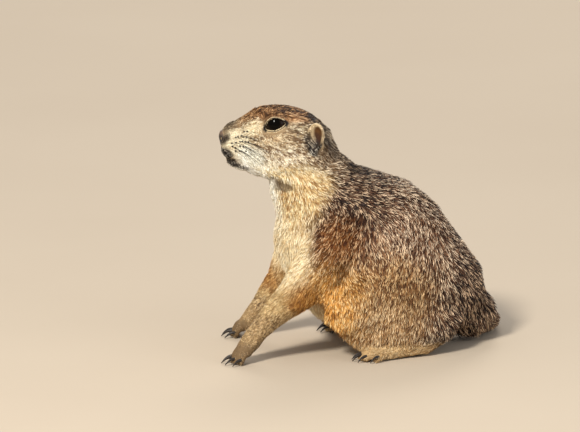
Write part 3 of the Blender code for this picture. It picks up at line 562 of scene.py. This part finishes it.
def mark_colours(points):
    """Ground, dark and pale colours and their two shares, eleven numbers for each scene point."""
    places = {"body": in_frame(points, BODY), "head": in_frame(points, HEAD)}
    edges = {
        "body": 0.12 * grain(places["body"], 9, 1) + 0.10 * grain(places["body"], 2.6, 2),
        "head": 0.07 * grain(places["head"], 4, 3) + 0.09 * grain(places["head"], 1.5, 4),
    }
    outward = {}
    for name, place in places.items():
        outward[name] = place * (1, 0, 1) + np.abs(place * (0, 1, 0))
    found = np.tile(coat_numbers("back"), (len(points), 1))
    for coat, name, centre, reach, softness, strength in MARKS:
        gap = np.linalg.norm((outward[name] - centre) / reach, axis=1) + edges[name]
        weight = strength * smoothstep(1 + softness, 1 - softness, gap)
        found += weight[:, None] * (coat_numbers(coat) - found)
    for side in SIDES.values():
        local = in_frame(points, eye_place(side))
        gap = almond_gap(local)
        rim = smoothstep(1.3, 0.8, gap + 2.5 * edges["head"])
        found += rim[:, None] * (coat_numbers("eye_rim") - found)
        corner = smoothstep(5.6, 6.8, np.abs(local[:, 0])) * smoothstep(1.7, 1.1, gap)
        found += corner[:, None] * (coat_numbers("eye_corner") - found)
    return found


def coat_numbers(name):
    ground, dark, pale, dark_share, pale_share = COATS[name]
    return np.concatenate([paint(*ground), paint(*dark), paint(*pale), [dark_share, pale_share]])


# ---------------------------------------------------------------- materials


def shader_of(name, roughness, specular=0.5, sheen=0.0):
    material = bpy.data.materials.new(name)
    material.use_nodes = True
    shader = material.node_tree.nodes["Principled BSDF"]
    shader.inputs["Roughness"].default_value = roughness
    shader.inputs["Specular IOR Level"].default_value = specular
    shader.inputs["Sheen Weight"].default_value = sheen
    return material, shader


def add_node(material, kind, **settings):
    node = material.node_tree.nodes.new(kind)
    for name, value in settings.items():
        if name in node.inputs:
            node.inputs[name].default_value = value
        else:
            setattr(node, name, value)
    return node


def join(material, output, socket):
    material.node_tree.links.new(output, socket)


def noise(material, scale, detail=2.0, roughness=0.5, stretch=(1, 1, 1)):
    """Noise on Object coordinates, with the pattern's cells stretched along X, Y and Z."""
    place = add_node(material, "ShaderNodeTexCoord")
    mapping = add_node(material, "ShaderNodeMapping", Scale=stretch)
    cells = add_node(material, "ShaderNodeTexNoise", Scale=scale, Detail=detail, Roughness=roughness)
    join(material, place.outputs["Object"], mapping.inputs["Vector"])
    join(material, mapping.outputs["Vector"], cells.inputs["Vector"])
    return cells


def ranged(material, value, low, high, start=0.3, end=0.7):
    """A value's middle range spread between two numbers."""
    node = add_node(material, "ShaderNodeMapRange")
    node.inputs["From Min"].default_value = start
    node.inputs["From Max"].default_value = end
    node.inputs["To Min"].default_value = low
    node.inputs["To Max"].default_value = high
    join(material, value, node.inputs["Value"])
    return node.outputs["Result"]


def bump(material, shader, height, distance, strength=1.0):
    node = add_node(material, "ShaderNodeBump", Strength=strength, Distance=distance)
    join(material, height, node.inputs["Height"])
    join(material, node.outputs["Normal"], shader.inputs["Normal"])


def marked_material(name, roughness, variation, specular, sheen):
    """A finish coloured by the piece's own marks, with a fine unevenness of tone."""
    material, shader = shader_of(name, roughness, specular, sheen)
    marks = add_node(material, "ShaderNodeAttribute", attribute_name="marks")
    tone = noise(material, 260, detail=3)
    level = ranged(material, tone.outputs["Fac"], 1 - variation, 1 + variation)
    colour = add_node(material, "ShaderNodeMix", data_type="RGBA", blend_type="MULTIPLY")
    colour.inputs["Factor"].default_value = 1
    join(material, marks.outputs["Color"], colour.inputs["A"])
    join(material, level, colour.inputs["B"])
    join(material, colour.outputs["Result"], shader.inputs["Base Color"])
    fine = noise(material, 900, detail=2)
    join(material, ranged(material, fine.outputs["Fac"], roughness - 0.1, roughness + 0.1), shader.inputs["Roughness"])
    return material, shader, fine


def add_marks(mesh, colours):
    """Stores a colour for each point of a mesh."""
    attribute = mesh.color_attributes.new("marks", "FLOAT_COLOR", "POINT")
    rgba = np.ones((len(colours), 4), np.float32)
    rgba[:, :3] = np.clip(colours, 0, 1)
    attribute.data.foreach_set("color", rgba.ravel())


# ---------------------------------------------------------------- the skin

SKIN_VOXEL = 0.8 * MM
# The skin's distance from the eye's middle behind the eyeball and just outside the lids' edges
UNDER_EYE = 6.5
LID_SKIN = (8.0, 8.2)


def build_skin():
    """The flesh fused into one skin that lies under the solids by the coat's depth."""
    clay = merged(FLESH_NODES + ["nose", "eye_left", "eye_right"], 0.3 * MM)
    skin = object_of("skin", clay)
    remesh(skin, SKIN_VOXEL)
    mesh = skin.data
    head = in_frame(points_of(mesh), HEAD)
    fine = smoothstep(44, 30, np.linalg.norm(head - (-6, 0, -12), axis=1))
    body = in_frame(points_of(mesh), BODY)
    fine = np.maximum(fine, smoothstep(16, 10, body[:, 2]) * smoothstep(-40, -50, body[:, 0]))
    fine = np.maximum(fine, 0.8 * smoothstep(12, 8, body[:, 2]))
    relax(mesh, 0.5 - 0.42 * fine, 14)
    normals = normals_of(mesh)
    _, measures, _ = coat_field(points_of(mesh), normals)
    depth = measures[:, 0] + 0.3 - 0.25 * fine
    set_points(mesh, points_of(mesh) - normals * depth[:, None] * MM)
    relax(mesh, 0.5 - 0.42 * fine, 5)
    points = points_of(mesh)
    for side in SIDES.values():
        local = in_frame(points, eye_place(side))
        gap, distance = almond_gap(local), np.linalg.norm(local, axis=1)
        lid = distance + smoothstep(2.6, 0.8, gap) * (np.clip(distance, *LID_SKIN) - distance)
        target = np.where(gap < 0.1, np.minimum(distance, UNDER_EYE), lid)
        near = (gap < 2.6)[:, None]
        points = np.where(near, moved(local * (target / distance)[:, None], eye_place(side)), points)
    set_points(mesh, points)
    found = mark_colours(points)
    # The skin takes the marks' ground colour darkened towards the dark ticks: painted shade for the depth beneath the
    # hair
    add_marks(mesh, found[:, :3] * 0.6 + 0.25 * found[:, 3:6])
    mesh.shade_smooth()
    material, shader, fine_noise = marked_material("skin under the coat", 0.7, 0.12, 0.3, 0.0)
    bump(material, shader, fine_noise.outputs["Fac"], 0.0003)
    mesh.materials.append(material)
    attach(skin, "root")
    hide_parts(*FLESH_NODES)
    return skin


def unwrap(skin):
    """A coarse copy of the skin unwrapped by its own shape: a search tree, and each triangle's corners and map places."""
    coarse = link("coarse", skin.data.copy())
    thin = coarse.modifiers.new("thin", "DECIMATE")
    thin.ratio = 5000 / (2 * len(skin.data.polygons))
    thin.use_collapse_triangulate = True
    apply_modifiers(coarse)
    bpy.context.view_layer.objects.active = coarse
    coarse.select_set(True)
    bpy.ops.object.mode_set(mode="EDIT")
    bpy.ops.mesh.select_all(action="SELECT")
    bpy.ops.uv.smart_project(angle_limit=math.radians(66), island_margin=0.01)
    bpy.ops.object.mode_set(mode="OBJECT")
    clay = bmesh.new()
    clay.from_mesh(coarse.data)
    tree = BVHTree.FromBMesh(clay)
    layer = clay.loops.layers.uv.active
    corners = np.array([[loop.vert.co for loop in face.loops] for face in clay.faces])
    places = np.array([[loop[layer].uv for loop in face.loops] for face in clay.faces])
    clay.free()
    bpy.data.objects.remove(coarse)
    return tree, corners, places


def map_places(points, unwrapped):
    """Where scene points fall on the skin's unwrap."""
    tree, corners, places = unwrapped
    nearest = [tree.find_nearest(Vector(point)) for point in points]
    index = np.array([hit[2] for hit in nearest])
    spots = np.array([hit[0] for hit in nearest])
    a, b, c = corners[index].transpose(1, 0, 2)
    whole = np.cross(b - a, c - a)
    size = np.maximum((whole**2).sum(1), 1e-24)
    to_b = (np.cross(spots - a, c - a) * whole).sum(1) / size
    to_c = (np.cross(b - a, spots - a) * whole).sum(1) / size
    share = np.clip(np.stack([1 - to_b - to_c, to_b, to_c], 1), 0, 1)
    return (places[index] * (share / share.sum(1, keepdims=True))[:, :, None]).sum(1)


# ---------------------------------------------------------------- the coat

BLADES = 3
BLADE_TRIANGLES = 5
PIECE_TUFTS = 12500
# How many tufts there are for each area that one blade covers
COVER = 1.7
# The width and length of the streaks of one colour, in millimetres
HEAD_STREAK = (0.6, 4.8)
BODY_STREAK = (0.5, 2.0)
# How much a hair's colour is its own, its tuft's, and that of the streak it lies in
HEAD_DICE = (0.14, 0.40, 0.46)
BODY_DICE = (0.34, 0.54, 0.12)


def scatter(skin):
    """Roots of the tufts on the skin: points, normals and the coat's measures there."""
    mesh = skin.data
    mesh.calc_loop_triangles()
    corners = np.empty(len(mesh.loop_triangles) * 3, int)
    mesh.loop_triangles.foreach_get("vertices", corners)
    corners = corners.reshape(-1, 3)
    points, normals = points_of(mesh), normals_of(mesh)
    _, measures, _ = coat_field(points, normals)
    a, b, c = (points[corners[:, i]] for i in range(3))
    area = np.linalg.norm(np.cross(b - a, c - a), axis=1) / 2 / MM**2
    size = measures[corners].mean(1)
    steps = np.cumsum(area * COVER / (size[:, 1] * size[:, 2]))
    picks = np.arange(int(steps[-1]) - 1) + rng.random(int(steps[-1]) - 1)
    chosen = np.searchsorted(steps, picks)
    u, v = rng.random((2, len(chosen)))
    over = u + v > 1
    u[over], v[over] = 1 - u[over], 1 - v[over]
    share = np.stack([1 - u - v, u, v], 1)[:, :, None]
    roots = (points[corners[chosen]] * share).sum(1)
    return roots, unit((normals[corners[chosen]] * share).sum(1))


def bare(roots, normals):
    """Where no hair grows: in the eyes' openings, on the nose and under the soles."""
    head = in_frame(roots, HEAD)
    body = in_frame(roots, BODY)
    none = (body[:, 2] < 1.2) & (normals[:, 2] < -0.5)
    for side in SIDES.values():
        none |= almond_gap(in_frame(roots, eye_place(side))) < 0.55
    nose = (head - NOSE_CENTRE) / NOSE_RADII
    none |= np.linalg.norm(nose, axis=1) < 1.0
    return none


def is_on_head(roots):
    return np.linalg.norm(in_frame(roots, HEAD) - (-4, 0, -14), axis=1) < 34


def clumps(roots, lies):
    """Values between 0 and 1 that hairs lying together share, drawn out along the lie."""
    place = in_frame(roots, BODY)
    on_head = is_on_head(roots)
    value = np.zeros(len(roots))
    for step in range(-3, 4):
        along = place + lies * np.where(on_head, HEAD_STREAK[1], BODY_STREAK[1])[:, None] * step / 6
        value += np.where(on_head, grain(along, HEAD_STREAK[0], 5), grain(along, BODY_STREAK[0], 6))
    return ranks(value)


def ranks(values):
    """Each value's place among all of them, from 0 to 1."""
    return (np.argsort(np.argsort(values.ravel())) / values.size).reshape(values.shape)


def tuft_colours(roots, lies, count):
    """The colours of each tuft's blades at root, middle and tip: (tufts, blades, 3 levels, rgb)."""
    found = mark_colours(roots)
    ground, dark, pale = (found[:, None, i : i + 3] for i in (0, 3, 6))
    own, tuft, streak = np.where(is_on_head(roots), np.array([HEAD_DICE]).T, np.array([BODY_DICE]).T)
    dice = own[:, None] * rng.random((len(roots), count)) + tuft[:, None] * rng.random((len(roots), 1))
    dice = ranks(dice + streak[:, None] * clumps(roots, lies)[:, None])
    is_dark = smoothstep(found[:, 9:10] + 0.05, found[:, 9:10] - 0.05, dice)[..., None]
    is_pale = smoothstep(0.95 - found[:, 10:11], 1.05 - found[:, 10:11], dice)[..., None]
    tone = rng.uniform(0.88, 1.12, (len(roots), count, 1))
    middle_colour = ground + 0.75 * is_dark * (dark - ground) + 0.6 * is_pale * (pale - ground)
    tip = ground + is_dark * (dark - ground) + is_pale * (pale - ground)
    # Each blade is darker at its root: partly the darker underfur, partly painted shade deep in the coat between the
    # tufts
    root = np.broadcast_to(0.5 * ground + 0.2 * dark, tip.shape)
    return np.stack([root, middle_colour, tip], 2) * tone[:, :, None]


def build_tufts(name, roots, normals, lies, measures, places, material):
    """One piece of the coat, of tufts with several tapered blades each."""
    count = len(roots)
    depth, length, width = (measures[:, i, None] * MM for i in range(3))
    across = np.cross(normals, lies)
    shape = (count, BLADES)
    fan = np.radians(rng.normal(0, 9, shape) + np.array((-7, 0, 7)))
    reach = length * rng.uniform(0.75, 1.15, shape)
    rise = depth * rng.uniform(0.55, 1.12, shape)
    wide = width * rng.uniform(0.7, 1.2, shape)
    roll = np.radians(rng.normal(0, 24, shape))
    offset = rng.normal(0, 0.75, shape) * width
    way = lies[:, None] * np.cos(fan)[..., None] + across[:, None] * np.sin(fan)[..., None]
    flat = across[:, None] * np.cos(fan)[..., None] - lies[:, None] * np.sin(fan)[..., None]
    span = flat * np.cos(roll)[..., None] + normals[:, None] * np.sin(roll)[..., None]
    base = roots[:, None] + across[:, None] * offset[..., None] - normals[:, None] * (0.35 * MM)
    # Along the blade: how far it has gone, risen and how wide it is
    stages = np.array(((0, 0, 0.7), (0.36, 0.5, 1.0), (0.76, 0.88, 0.85), (1.0, 1.0, 0.0)))
    points = np.empty((count, BLADES, 7, 3))
    levels = tuft_colours(roots, lies, BLADES)
    colours = np.empty((count, BLADES, 7, 3))
    marks = (levels[:, :, 0], levels[:, :, 1], levels[:, :, 2], levels[:, :, 2])
    for stage, (gone, risen, spread) in enumerate(stages):
        centre = base + way * (reach * gone)[..., None] + normals[:, None] * (rise * risen)[..., None]
        half = span * (wide * spread / 2)[..., None]
        if stage < 3:
            points[:, :, 2 * stage] = centre - half
            points[:, :, 2 * stage + 1] = centre + half
            colours[:, :, 2 * stage] = colours[:, :, 2 * stage + 1] = marks[stage]
        else:
            points[:, :, 6] = centre
            colours[:, :, 6] = marks[3]
    points[..., 2] = np.maximum(points[..., 2], CAD_BOX[0].z + 0.1 * MM)
    blade = np.array(((0, 3, 1), (0, 2, 3), (2, 5, 3), (2, 4, 5), (4, 6, 5)))
    starts = np.arange(count * BLADES)[:, None, None] * 7
    faces = (blade[None] + starts).reshape(-1, 3)
    mesh = bpy.data.meshes.new(name)
    mesh.vertices.add(count * BLADES * 7)
    mesh.vertices.foreach_set("co", points.ravel())
    mesh.loops.add(faces.size)
    mesh.loops.foreach_set("vertex_index", faces.ravel())
    mesh.polygons.add(len(faces))
    mesh.polygons.foreach_set("loop_start", np.arange(0, faces.size, 3))
    mesh.update(calc_edges=True)
    add_marks(mesh, colours.reshape(-1, 3))
    side_of = np.array((-1, 1, -1, 1, -0.7, 0.7, 0)) * 0.0011
    along = np.array((0, 0, 0.34, 0.34, 0.7, 0.7, 1)) * 0.003
    patch = np.stack([side_of, along], 1)
    spots = places[:, None, None] + patch[None, None] + np.linspace(-0.0004, 0.0004, BLADES)[None, :, None, None] * (1, 0)
    layer = mesh.uv_layers.new(name="OFBake")
    layer.data.foreach_set("uv", spots.reshape(-1, 2)[faces.ravel()].astype(np.float32).ravel())
    mesh.shade_smooth()
    mesh.materials.append(material)
    piece = link(name, mesh)
    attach(piece, "root")
    return piece


def build_coat(skin):
    """The whole coat, in pieces by the part of the body they cover."""
    unwrapped = unwrap(skin)
    roots, normals = scatter(skin)
    keep = ~bare(roots, normals)
    roots, normals = roots[keep], normals[keep]
    lies, measures, shares = coat_field(roots, normals)
    places = map_places(roots, unwrapped)
    material, _, _ = marked_material("coat of fine hair", 0.6, 0.10, 0.25, 0.03)
    names = list(shares)
    biggest = np.array(names)[np.argmax(np.stack([shares[name] for name in names]), axis=0)]
    body = in_frame(roots, BODY)
    head = in_frame(roots, HEAD)
    regions = {}
    for limb in names:
        mine = biggest == limb
        kind = limb.split("_")[0]
        if kind == "trunk":
            neck = mine & (body[:, 2] > 98) & (body[:, 0] < -10)
            regions.setdefault(("neck", "neck_coat"), []).append(neck)
            high = mine & ~neck & (normals[:, 2] > 0.25)
            regions.setdefault(("back", "back_coat"), []).append(high)
            regions.setdefault(("flank", "flank_coat"), []).append(mine & ~neck & ~high)
        elif kind == "foreleg":
            paw = mine & (body[:, 2] < 13)
            regions.setdefault(("paws", "paw_coat"), []).append(paw)
            regions.setdefault(("forelegs", "leg_coat"), []).append(mine & ~paw)
        elif kind == "head":
            ears = mine & (head[:, 0] > 17) & (np.abs(head[:, 1]) > 21.5) & (head[:, 2] > -18)
            regions.setdefault(("ears", "ear_coat"), []).append(ears)
            regions.setdefault(("head", "head_coat"), []).append(mine & ~ears)
        elif kind == "tail":
            black = mine & (body[:, 1] > 36)
            regions.setdefault(("tail_tip", "tail_tip_coat"), []).append(black)
            regions.setdefault(("tail", "back_coat"), []).append(mine & ~black)
        else:
            slot = {"haunch": "flank_coat", "foot": "paw_coat"}[kind]
            regions.setdefault((kind, slot), []).append(mine)
    total = 0
    for (region, slot), masks in regions.items():
        index = np.nonzero(np.any(masks, axis=0))[0]
        total += len(index)
        order = index[np.argsort(body[index, 0], kind="stable")]
        parts = max(1, math.ceil(len(order) / PIECE_TUFTS))
        for number, chosen in enumerate(np.array_split(order, parts), 1):
            if len(chosen):
                build_tufts(
                    f"coat_{region}_{number}", roots[chosen], normals[chosen], lies[chosen],
                    measures[chosen], places[chosen], material,
                )
    print("TUFTS", total, "TRIANGLES", total * BLADES * BLADE_TRIANGLES, {k[0]: int(np.any(m, axis=0).sum()) for k, m in regions.items()})


# ---------------------------------------------------------------- eyes, lids, nose, claws


def glossy(name, colour, roughness):
    material, shader = shader_of(name, roughness)
    shader.inputs["Base Color"].default_value = (*colour, 1)
    return material, shader


# Above and below this height from its middle the eyeball is flattened, behind the lids
EYE_FLAT = 5.0


def build_eyes():
    material, shader = shader_of("wet dark eye", 0.03, 0.06)
    gaze = add_node(material, "ShaderNodeAttribute", attribute_name="gaze")
    ramp = add_node(material, "ShaderNodeValToRGB")
    ramp.color_ramp.elements[0].position = 0.30
    ramp.color_ramp.elements[0].color = (0.002, 0.0015, 0.001, 1)
    ramp.color_ramp.elements[1].position = 0.42
    ramp.color_ramp.elements[1].color = (0.012, 0.007, 0.004, 1)
    join(material, gaze.outputs["Fac"], ramp.inputs["Fac"])
    join(material, ramp.outputs["Color"], shader.inputs["Base Color"])
    for side, sign in SIDES.items():
        clay = bmesh.new()
        pole = Matrix.Rotation(math.radians(-90), 4, "X")
        bmesh.ops.create_uvsphere(
            clay, u_segments=64, v_segments=40, radius=EYE_RADIUS, matrix=eye_place(sign) @ pole
        )
        eye = object_of(f"wet_eye_{side}", clay)
        local = in_frame(points_of(eye.data), eye_place(sign))
        turned = np.arccos(np.clip(local[:, 1] / EYE_RADIUS, -1, 1)) / math.pi * 2
        attribute = eye.data.attributes.new("gaze", "FLOAT", "POINT")
        attribute.data.foreach_set("value", turned.astype(np.float32))
        over = np.maximum(np.abs(local[:, 2]) - EYE_FLAT, 0)
        local[:, 2] -= np.sign(local[:, 2]) * over * 0.65
        set_points(eye.data, moved(local, eye_place(sign)))
        eye.data.materials.append(material)
        eye.data.shade_smooth()
        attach(eye, "root")
        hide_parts(f"eye_{side}")


def ring_mesh(name, loops, close=True):
    clay = bmesh.new()
    rings = [[clay.verts.new(point) for point in loop] for loop in loops]
    for one, two in zip(rings, rings[1:] + rings[:1] if close else rings[1:]):
        for i in range(len(one)):
            j = (i + 1) % len(one)
            clay.faces.new((one[i], one[j], two[j], two[i]))
    bmesh.ops.recalc_face_normals(clay, faces=clay.faces)
    obj = object_of(name, clay)
    obj.data.shade_smooth()
    return obj


# Rings across the lid's margin from its inner edge over its crest into the fur: how far outside the
# almond, and the distance from the eye's middle
LID_RINGS = ((-0.6, 7.4), (-0.5, 7.85), (-0.2, 8.2), (0.15, 8.4), (0.5, 8.35), (0.75, 7.8), (-0.1, 7.2))


def build_lids():
    """The dark bare margin of the lids, a rounded rim that lies on the eye."""
    material, shader = glossy("bare lid margin", (0.010, 0.008, 0.007), 0.5)
    shader.inputs["Specular IOR Level"].default_value = 0.15
    grain = noise(material, 1500)
    bump(material, shader, grain.outputs["Fac"], 0.0001)
    for side, sign in SIDES.items():
        place = eye_place(sign)
        loops = []
        for extra, radius in LID_RINGS:
            loop = []
            for x, z in lid_outline(extra):
                out = math.sqrt(max(radius**2 - x * x - z * z, 0.2))
                loop.append(place @ Vector((x, out, z)))
            loops.append(loop)
        lid = ring_mesh(f"lid_margin_{side}", loops)
        lid.data.materials.append(material)
        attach(lid, "root")


NOSE_DARK = paint(26, 20, 17)
NOSE_TOP = paint(100, 78, 60)


def build_nose():
    """The bare nose pad with its nostrils, finer than the solid."""
    nose = object_of("nose_pad", merged(["nose"], 0.12 * MM))
    remesh(nose, 0.3 * MM)
    relax(nose.data, 0.5, 3)
    head = in_frame(points_of(nose.data), HEAD)
    top = smoothstep(-9.5, -6.0, head[:, 2])[:, None]
    add_marks(nose.data, NOSE_DARK * (1 - top) + NOSE_TOP * top)
    material, shader, fine = marked_material("bare nose skin", 0.42, 0.3, 0.5, 0.0)
    bump(material, shader, fine.outputs["Fac"], 0.0002)
    nose.data.materials.append(material)
    nose.data.shade_smooth()
    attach(nose, "root")
    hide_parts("nose")


def build_claws():
    claws = object_of("claws", merged(CLAW_NODES, 0.0))
    smooth = claws.modifiers.new("smooth", "SUBSURF")
    smooth.levels = smooth.render_levels = 2
    apply_modifiers(claws)
    material, shader = shader_of("dark horn", 0.42, 0.25)
    streaks = noise(material, 300, detail=4, stretch=(0.4, 1, 1))
    ramp = add_node(material, "ShaderNodeValToRGB")
    ramp.color_ramp.elements[0].color = (0.010, 0.008, 0.007, 1)
    ramp.color_ramp.elements[1].color = (0.05, 0.038, 0.03, 1)
    join(material, streaks.outputs["Fac"], ramp.inputs["Fac"])
    join(material, ramp.outputs["Color"], shader.inputs["Base Color"])
    bump(material, shader, streaks.outputs["Fac"], 0.0001)
    claws.data.materials.append(material)
    claws.data.shade_smooth()
    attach(claws, "root")
    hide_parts(*CLAW_NODES)


# ---------------------------------------------------------------- whiskers


def strand_tree():
    """Geometry Nodes that sweep a tapered round strand along every guide curve."""
    tree = bpy.data.node_groups.new("tapered strands", "GeometryNodeTree")
    face = tree.interface
    face.new_socket("Guides", in_out="INPUT", socket_type="NodeSocketGeometry")
    sockets = {
        "Thickness": face.new_socket("Thickness", in_out="INPUT", socket_type="NodeSocketFloat"),
        "Sides": face.new_socket("Sides", in_out="INPUT", socket_type="NodeSocketInt"),
        "Finish": face.new_socket("Finish", in_out="INPUT", socket_type="NodeSocketMaterial"),
    }
    face.new_socket("Strands", in_out="OUTPUT", socket_type="NodeSocketGeometry")
    nodes, links = tree.nodes, tree.links
    entry, leave = nodes.new("NodeGroupInput"), nodes.new("NodeGroupOutput")
    along = nodes.new("GeometryNodeSplineParameter")
    taper = nodes.new("ShaderNodeMapRange")
    taper.inputs["To Min"].default_value = 1.0
    taper.inputs["To Max"].default_value = 0.12
    size = nodes.new("ShaderNodeMath")
    size.operation = "MULTIPLY"
    radius = nodes.new("GeometryNodeSetCurveRadius")
    circle = nodes.new("GeometryNodeCurvePrimitiveCircle")
    circle.inputs["Radius"].default_value = 1.0
    sweep = nodes.new("GeometryNodeCurveToMesh")
    sweep.inputs["Fill Caps"].default_value = True
    real = nodes.new("GeometryNodeRealizeInstances")
    finish = nodes.new("GeometryNodeSetMaterial")
    links.new(along.outputs["Factor"], taper.inputs["Value"])
    links.new(taper.outputs["Result"], size.inputs[0])
    links.new(entry.outputs["Thickness"], size.inputs[1])
    links.new(entry.outputs["Guides"], radius.inputs["Curve"])
    links.new(size.outputs["Value"], radius.inputs["Radius"])
    links.new(entry.outputs["Sides"], circle.inputs["Resolution"])
    links.new(radius.outputs["Curve"], sweep.inputs["Curve"])
    links.new(circle.outputs["Curve"], sweep.inputs["Profile Curve"])
    if "Scale" in sweep.inputs:
        links.new(size.outputs["Value"], sweep.inputs["Scale"])
    links.new(sweep.outputs["Mesh"], real.inputs["Geometry"])
    links.new(real.outputs["Geometry"], finish.inputs["Geometry"])
    links.new(entry.outputs["Finish"], finish.inputs["Material"])
    links.new(finish.outputs["Geometry"], leave.inputs["Strands"])
    return tree, {name: socket.identifier for name, socket in sockets.items()}


def strands(name, guides, thickness, material):
    """Tapered strands along lists of scene points, as one piece."""
    curve = bpy.data.curves.new(name, "CURVE")
    curve.dimensions = "3D"
    for guide in guides:
        spline = curve.splines.new("POLY")
        spline.points.add(len(guide) - 1)
        spline.points.foreach_set("co", np.hstack([guide, np.ones((len(guide), 1))]).ravel())
    holder = link(name + "_guides", curve)
    modifier = holder.modifiers.new("strands", "NODES")
    modifier.node_group = STRANDS[0]
    modifier[STRANDS[1]["Thickness"]] = thickness
    modifier[STRANDS[1]["Sides"]] = 5
    modifier[STRANDS[1]["Finish"]] = material
    graph = bpy.context.evaluated_depsgraph_get()
    mesh = bpy.data.meshes.new_from_object(holder.evaluated_get(graph))
    mesh.name = name
    holder.modifiers.clear()
    bpy.data.objects.remove(holder)
    mesh.shade_smooth()
    piece = link(name, mesh)
    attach(piece, "root")
    return piece


# Whisker roots on the pad in rows: height, places back along it, and length of the longest
WHISKER_ROWS = [
    (-3.9, (-21.2, -18.6), 14),
    (-7.2, (-27.2, -25.1, -23.0, -20.9, -18.4), 19),
    (-10.9, (-28.4, -25.7, -23.4, -21.4, -19.2, -17.0), 25),
    (-14.3, (-27.6, -25.3, -23.1, -20.9, -18.7), 27),
    (-17.0, (-26.0, -24.1, -22.4, -19.4), 22),
]
WHISKER_RADIUS = 0.15 * MM
DOT_RADII = (0.72 * MM, 0.6 * MM, 0.42 * MM)


def build_whiskers(skin):
    material, shader = glossy("stiff dark whisker", (0.018, 0.013, 0.010), 0.35)
    clay = bmesh.new()
    clay.from_mesh(skin.data)
    tree = BVHTree.FromBMesh(clay)
    clay.free()
    guides, dots = [], []
    for sign in SIDES.values():
        for height, backs, length in WHISKER_ROWS:
            for back in backs:
                stray = rng.normal(0, 0.35, 2)
                target = Vector((back + stray[0], 14 * sign, height + stray[1]))
                spot, normal, _, _ = tree.find_nearest(HEAD @ target)
                reach = length * (0.35 + 0.65 * (back + 28) / 11) * rng.uniform(0.85, 1.1)
                spread = rng.normal(0, 0.05)
                out = Vector((0.84, 0.50 * sign, -0.20 + 0.03 * (height + 11) + spread))
                out = (HEAD.to_3x3().normalized() @ out).normalized()
                guide = []
                for t in np.linspace(0, 1, 9):
                    bend = Vector((0.05, 0, -0.34)) * t * t
                    step = (normal * 0.3 * t * (1 - t) + out * t + bend * t) * reach * MM
                    guide.append(spot - normal * 0.3 * MM + step)
                guides.append(np.array(guide))
                dots.append((spot, normal))
    strands("whiskers", guides, WHISKER_RADIUS, material)
    # Each whisker leaves a small dark swelling
    clay = bmesh.new()
    for spot, normal in dots:
        turn = normal.to_track_quat("Z", "Y").to_matrix().to_4x4()
        place = Matrix.Translation(spot + normal * 0.55 * MM) @ turn @ Matrix.Diagonal((*DOT_RADII, 1))
        bmesh.ops.create_icosphere(clay, subdivisions=1, radius=1, matrix=place)
    roots = object_of("whisker_roots", clay)
    roots.data.materials.append(material)
    roots.data.shade_smooth()
    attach(roots, "root")


# ---------------------------------------------------------------- the set

CAMERA_TURN = math.radians(-15)
CAMERA_RISE = math.radians(13)
PIXEL = 0.64 * MM
IMAGE = (580, 432)
ORIGIN_PIXEL = (360, 345)


def build_camera():
    """The photograph's view: far off, from ahead of the animal's left side and a little above."""
    cos_rise = math.cos(CAMERA_RISE)
    back = Vector((math.sin(CAMERA_TURN) * cos_rise, -math.cos(CAMERA_TURN) * cos_rise, math.sin(CAMERA_RISE)))
    right = Vector((math.cos(CAMERA_TURN), math.sin(CAMERA_TURN), 0))
    up = back.cross(right)
    aside = (IMAGE[0] / 2 - ORIGIN_PIXEL[0]) * PIXEL
    above = (ORIGIN_PIXEL[1] - IMAGE[1] / 2) * PIXEL
    distance = 10.0
    data = bpy.data.cameras.new("camera")
    data.sensor_fit = "HORIZONTAL"
    data.sensor_width = 36
    data.lens = data.sensor_width * distance / (IMAGE[0] * PIXEL)
    data.clip_start, data.clip_end = 0.5, 60
    camera = link("camera", data)
    camera.rotation_mode = "QUATERNION"
    camera.rotation_quaternion = back.to_track_quat("Z", "Y")
    camera.location = BODY.translation + right * aside + up * above + back * distance
    bpy.context.scene.camera = camera


def add_light(name, place, aim, size, power, colour):
    data = bpy.data.lights.new(name, "AREA")
    data.shape = "DISK"
    data.size = size
    data.energy = power
    data.color = colour
    light = link(name, data)
    light.location = place
    light.rotation_mode = "QUATERNION"
    light.rotation_quaternion = (Vector(place) - Vector(aim)).to_track_quat("Z", "Y")


def build_set():
    aim = (0, 0, 0.07)
    add_light("key", (-1.3, -1.5, 1.7), aim, 0.45, 76, (1.0, 0.965, 0.90))
    add_light("fill", (1.6, -1.4, 0.9), aim, 1.4, 11, (0.90, 0.95, 1.0))
    add_light("rim", (0.6, 1.6, 1.5), aim, 1.0, 16, (1.0, 0.97, 0.92))
    world = bpy.data.worlds.new("studio")
    bpy.context.scene.world = world
    world.use_nodes = True
    background = world.node_tree.nodes["Background"]
    background.inputs["Color"].default_value = (0.93, 0.95, 1.0, 1)
    background.inputs["Strength"].default_value = 0.5
    material, shader = shader_of("pale floor", 0.85, 0.2)
    cells = noise(material, 3, detail=4)
    ramp = add_node(material, "ShaderNodeValToRGB")
    ramp.color_ramp.elements[0].color = (0.50, 0.41, 0.31, 1)
    ramp.color_ramp.elements[1].color = (0.56, 0.47, 0.36, 1)
    join(material, cells.outputs["Fac"], ramp.inputs["Fac"])
    join(material, ramp.outputs["Color"], shader.inputs["Base Color"])
    clay = bmesh.new()
    bmesh.ops.create_grid(clay, x_segments=1, y_segments=1, size=6)
    floor = object_of("floor", clay)
    floor.data.materials.append(material)
    floor.data.transform(Matrix.Translation((0, 0, CAD_BOX[0].z - 0.0002)))
    bpy.context.scene.view_settings.view_transform = "Standard"


STRANDS = strand_tree()
build_camera()
build_set()
skin_piece = build_skin()
build_coat(skin_piece)
build_eyes()
build_lids()
build_nose()
build_claws()
build_whiskers(skin_piece)
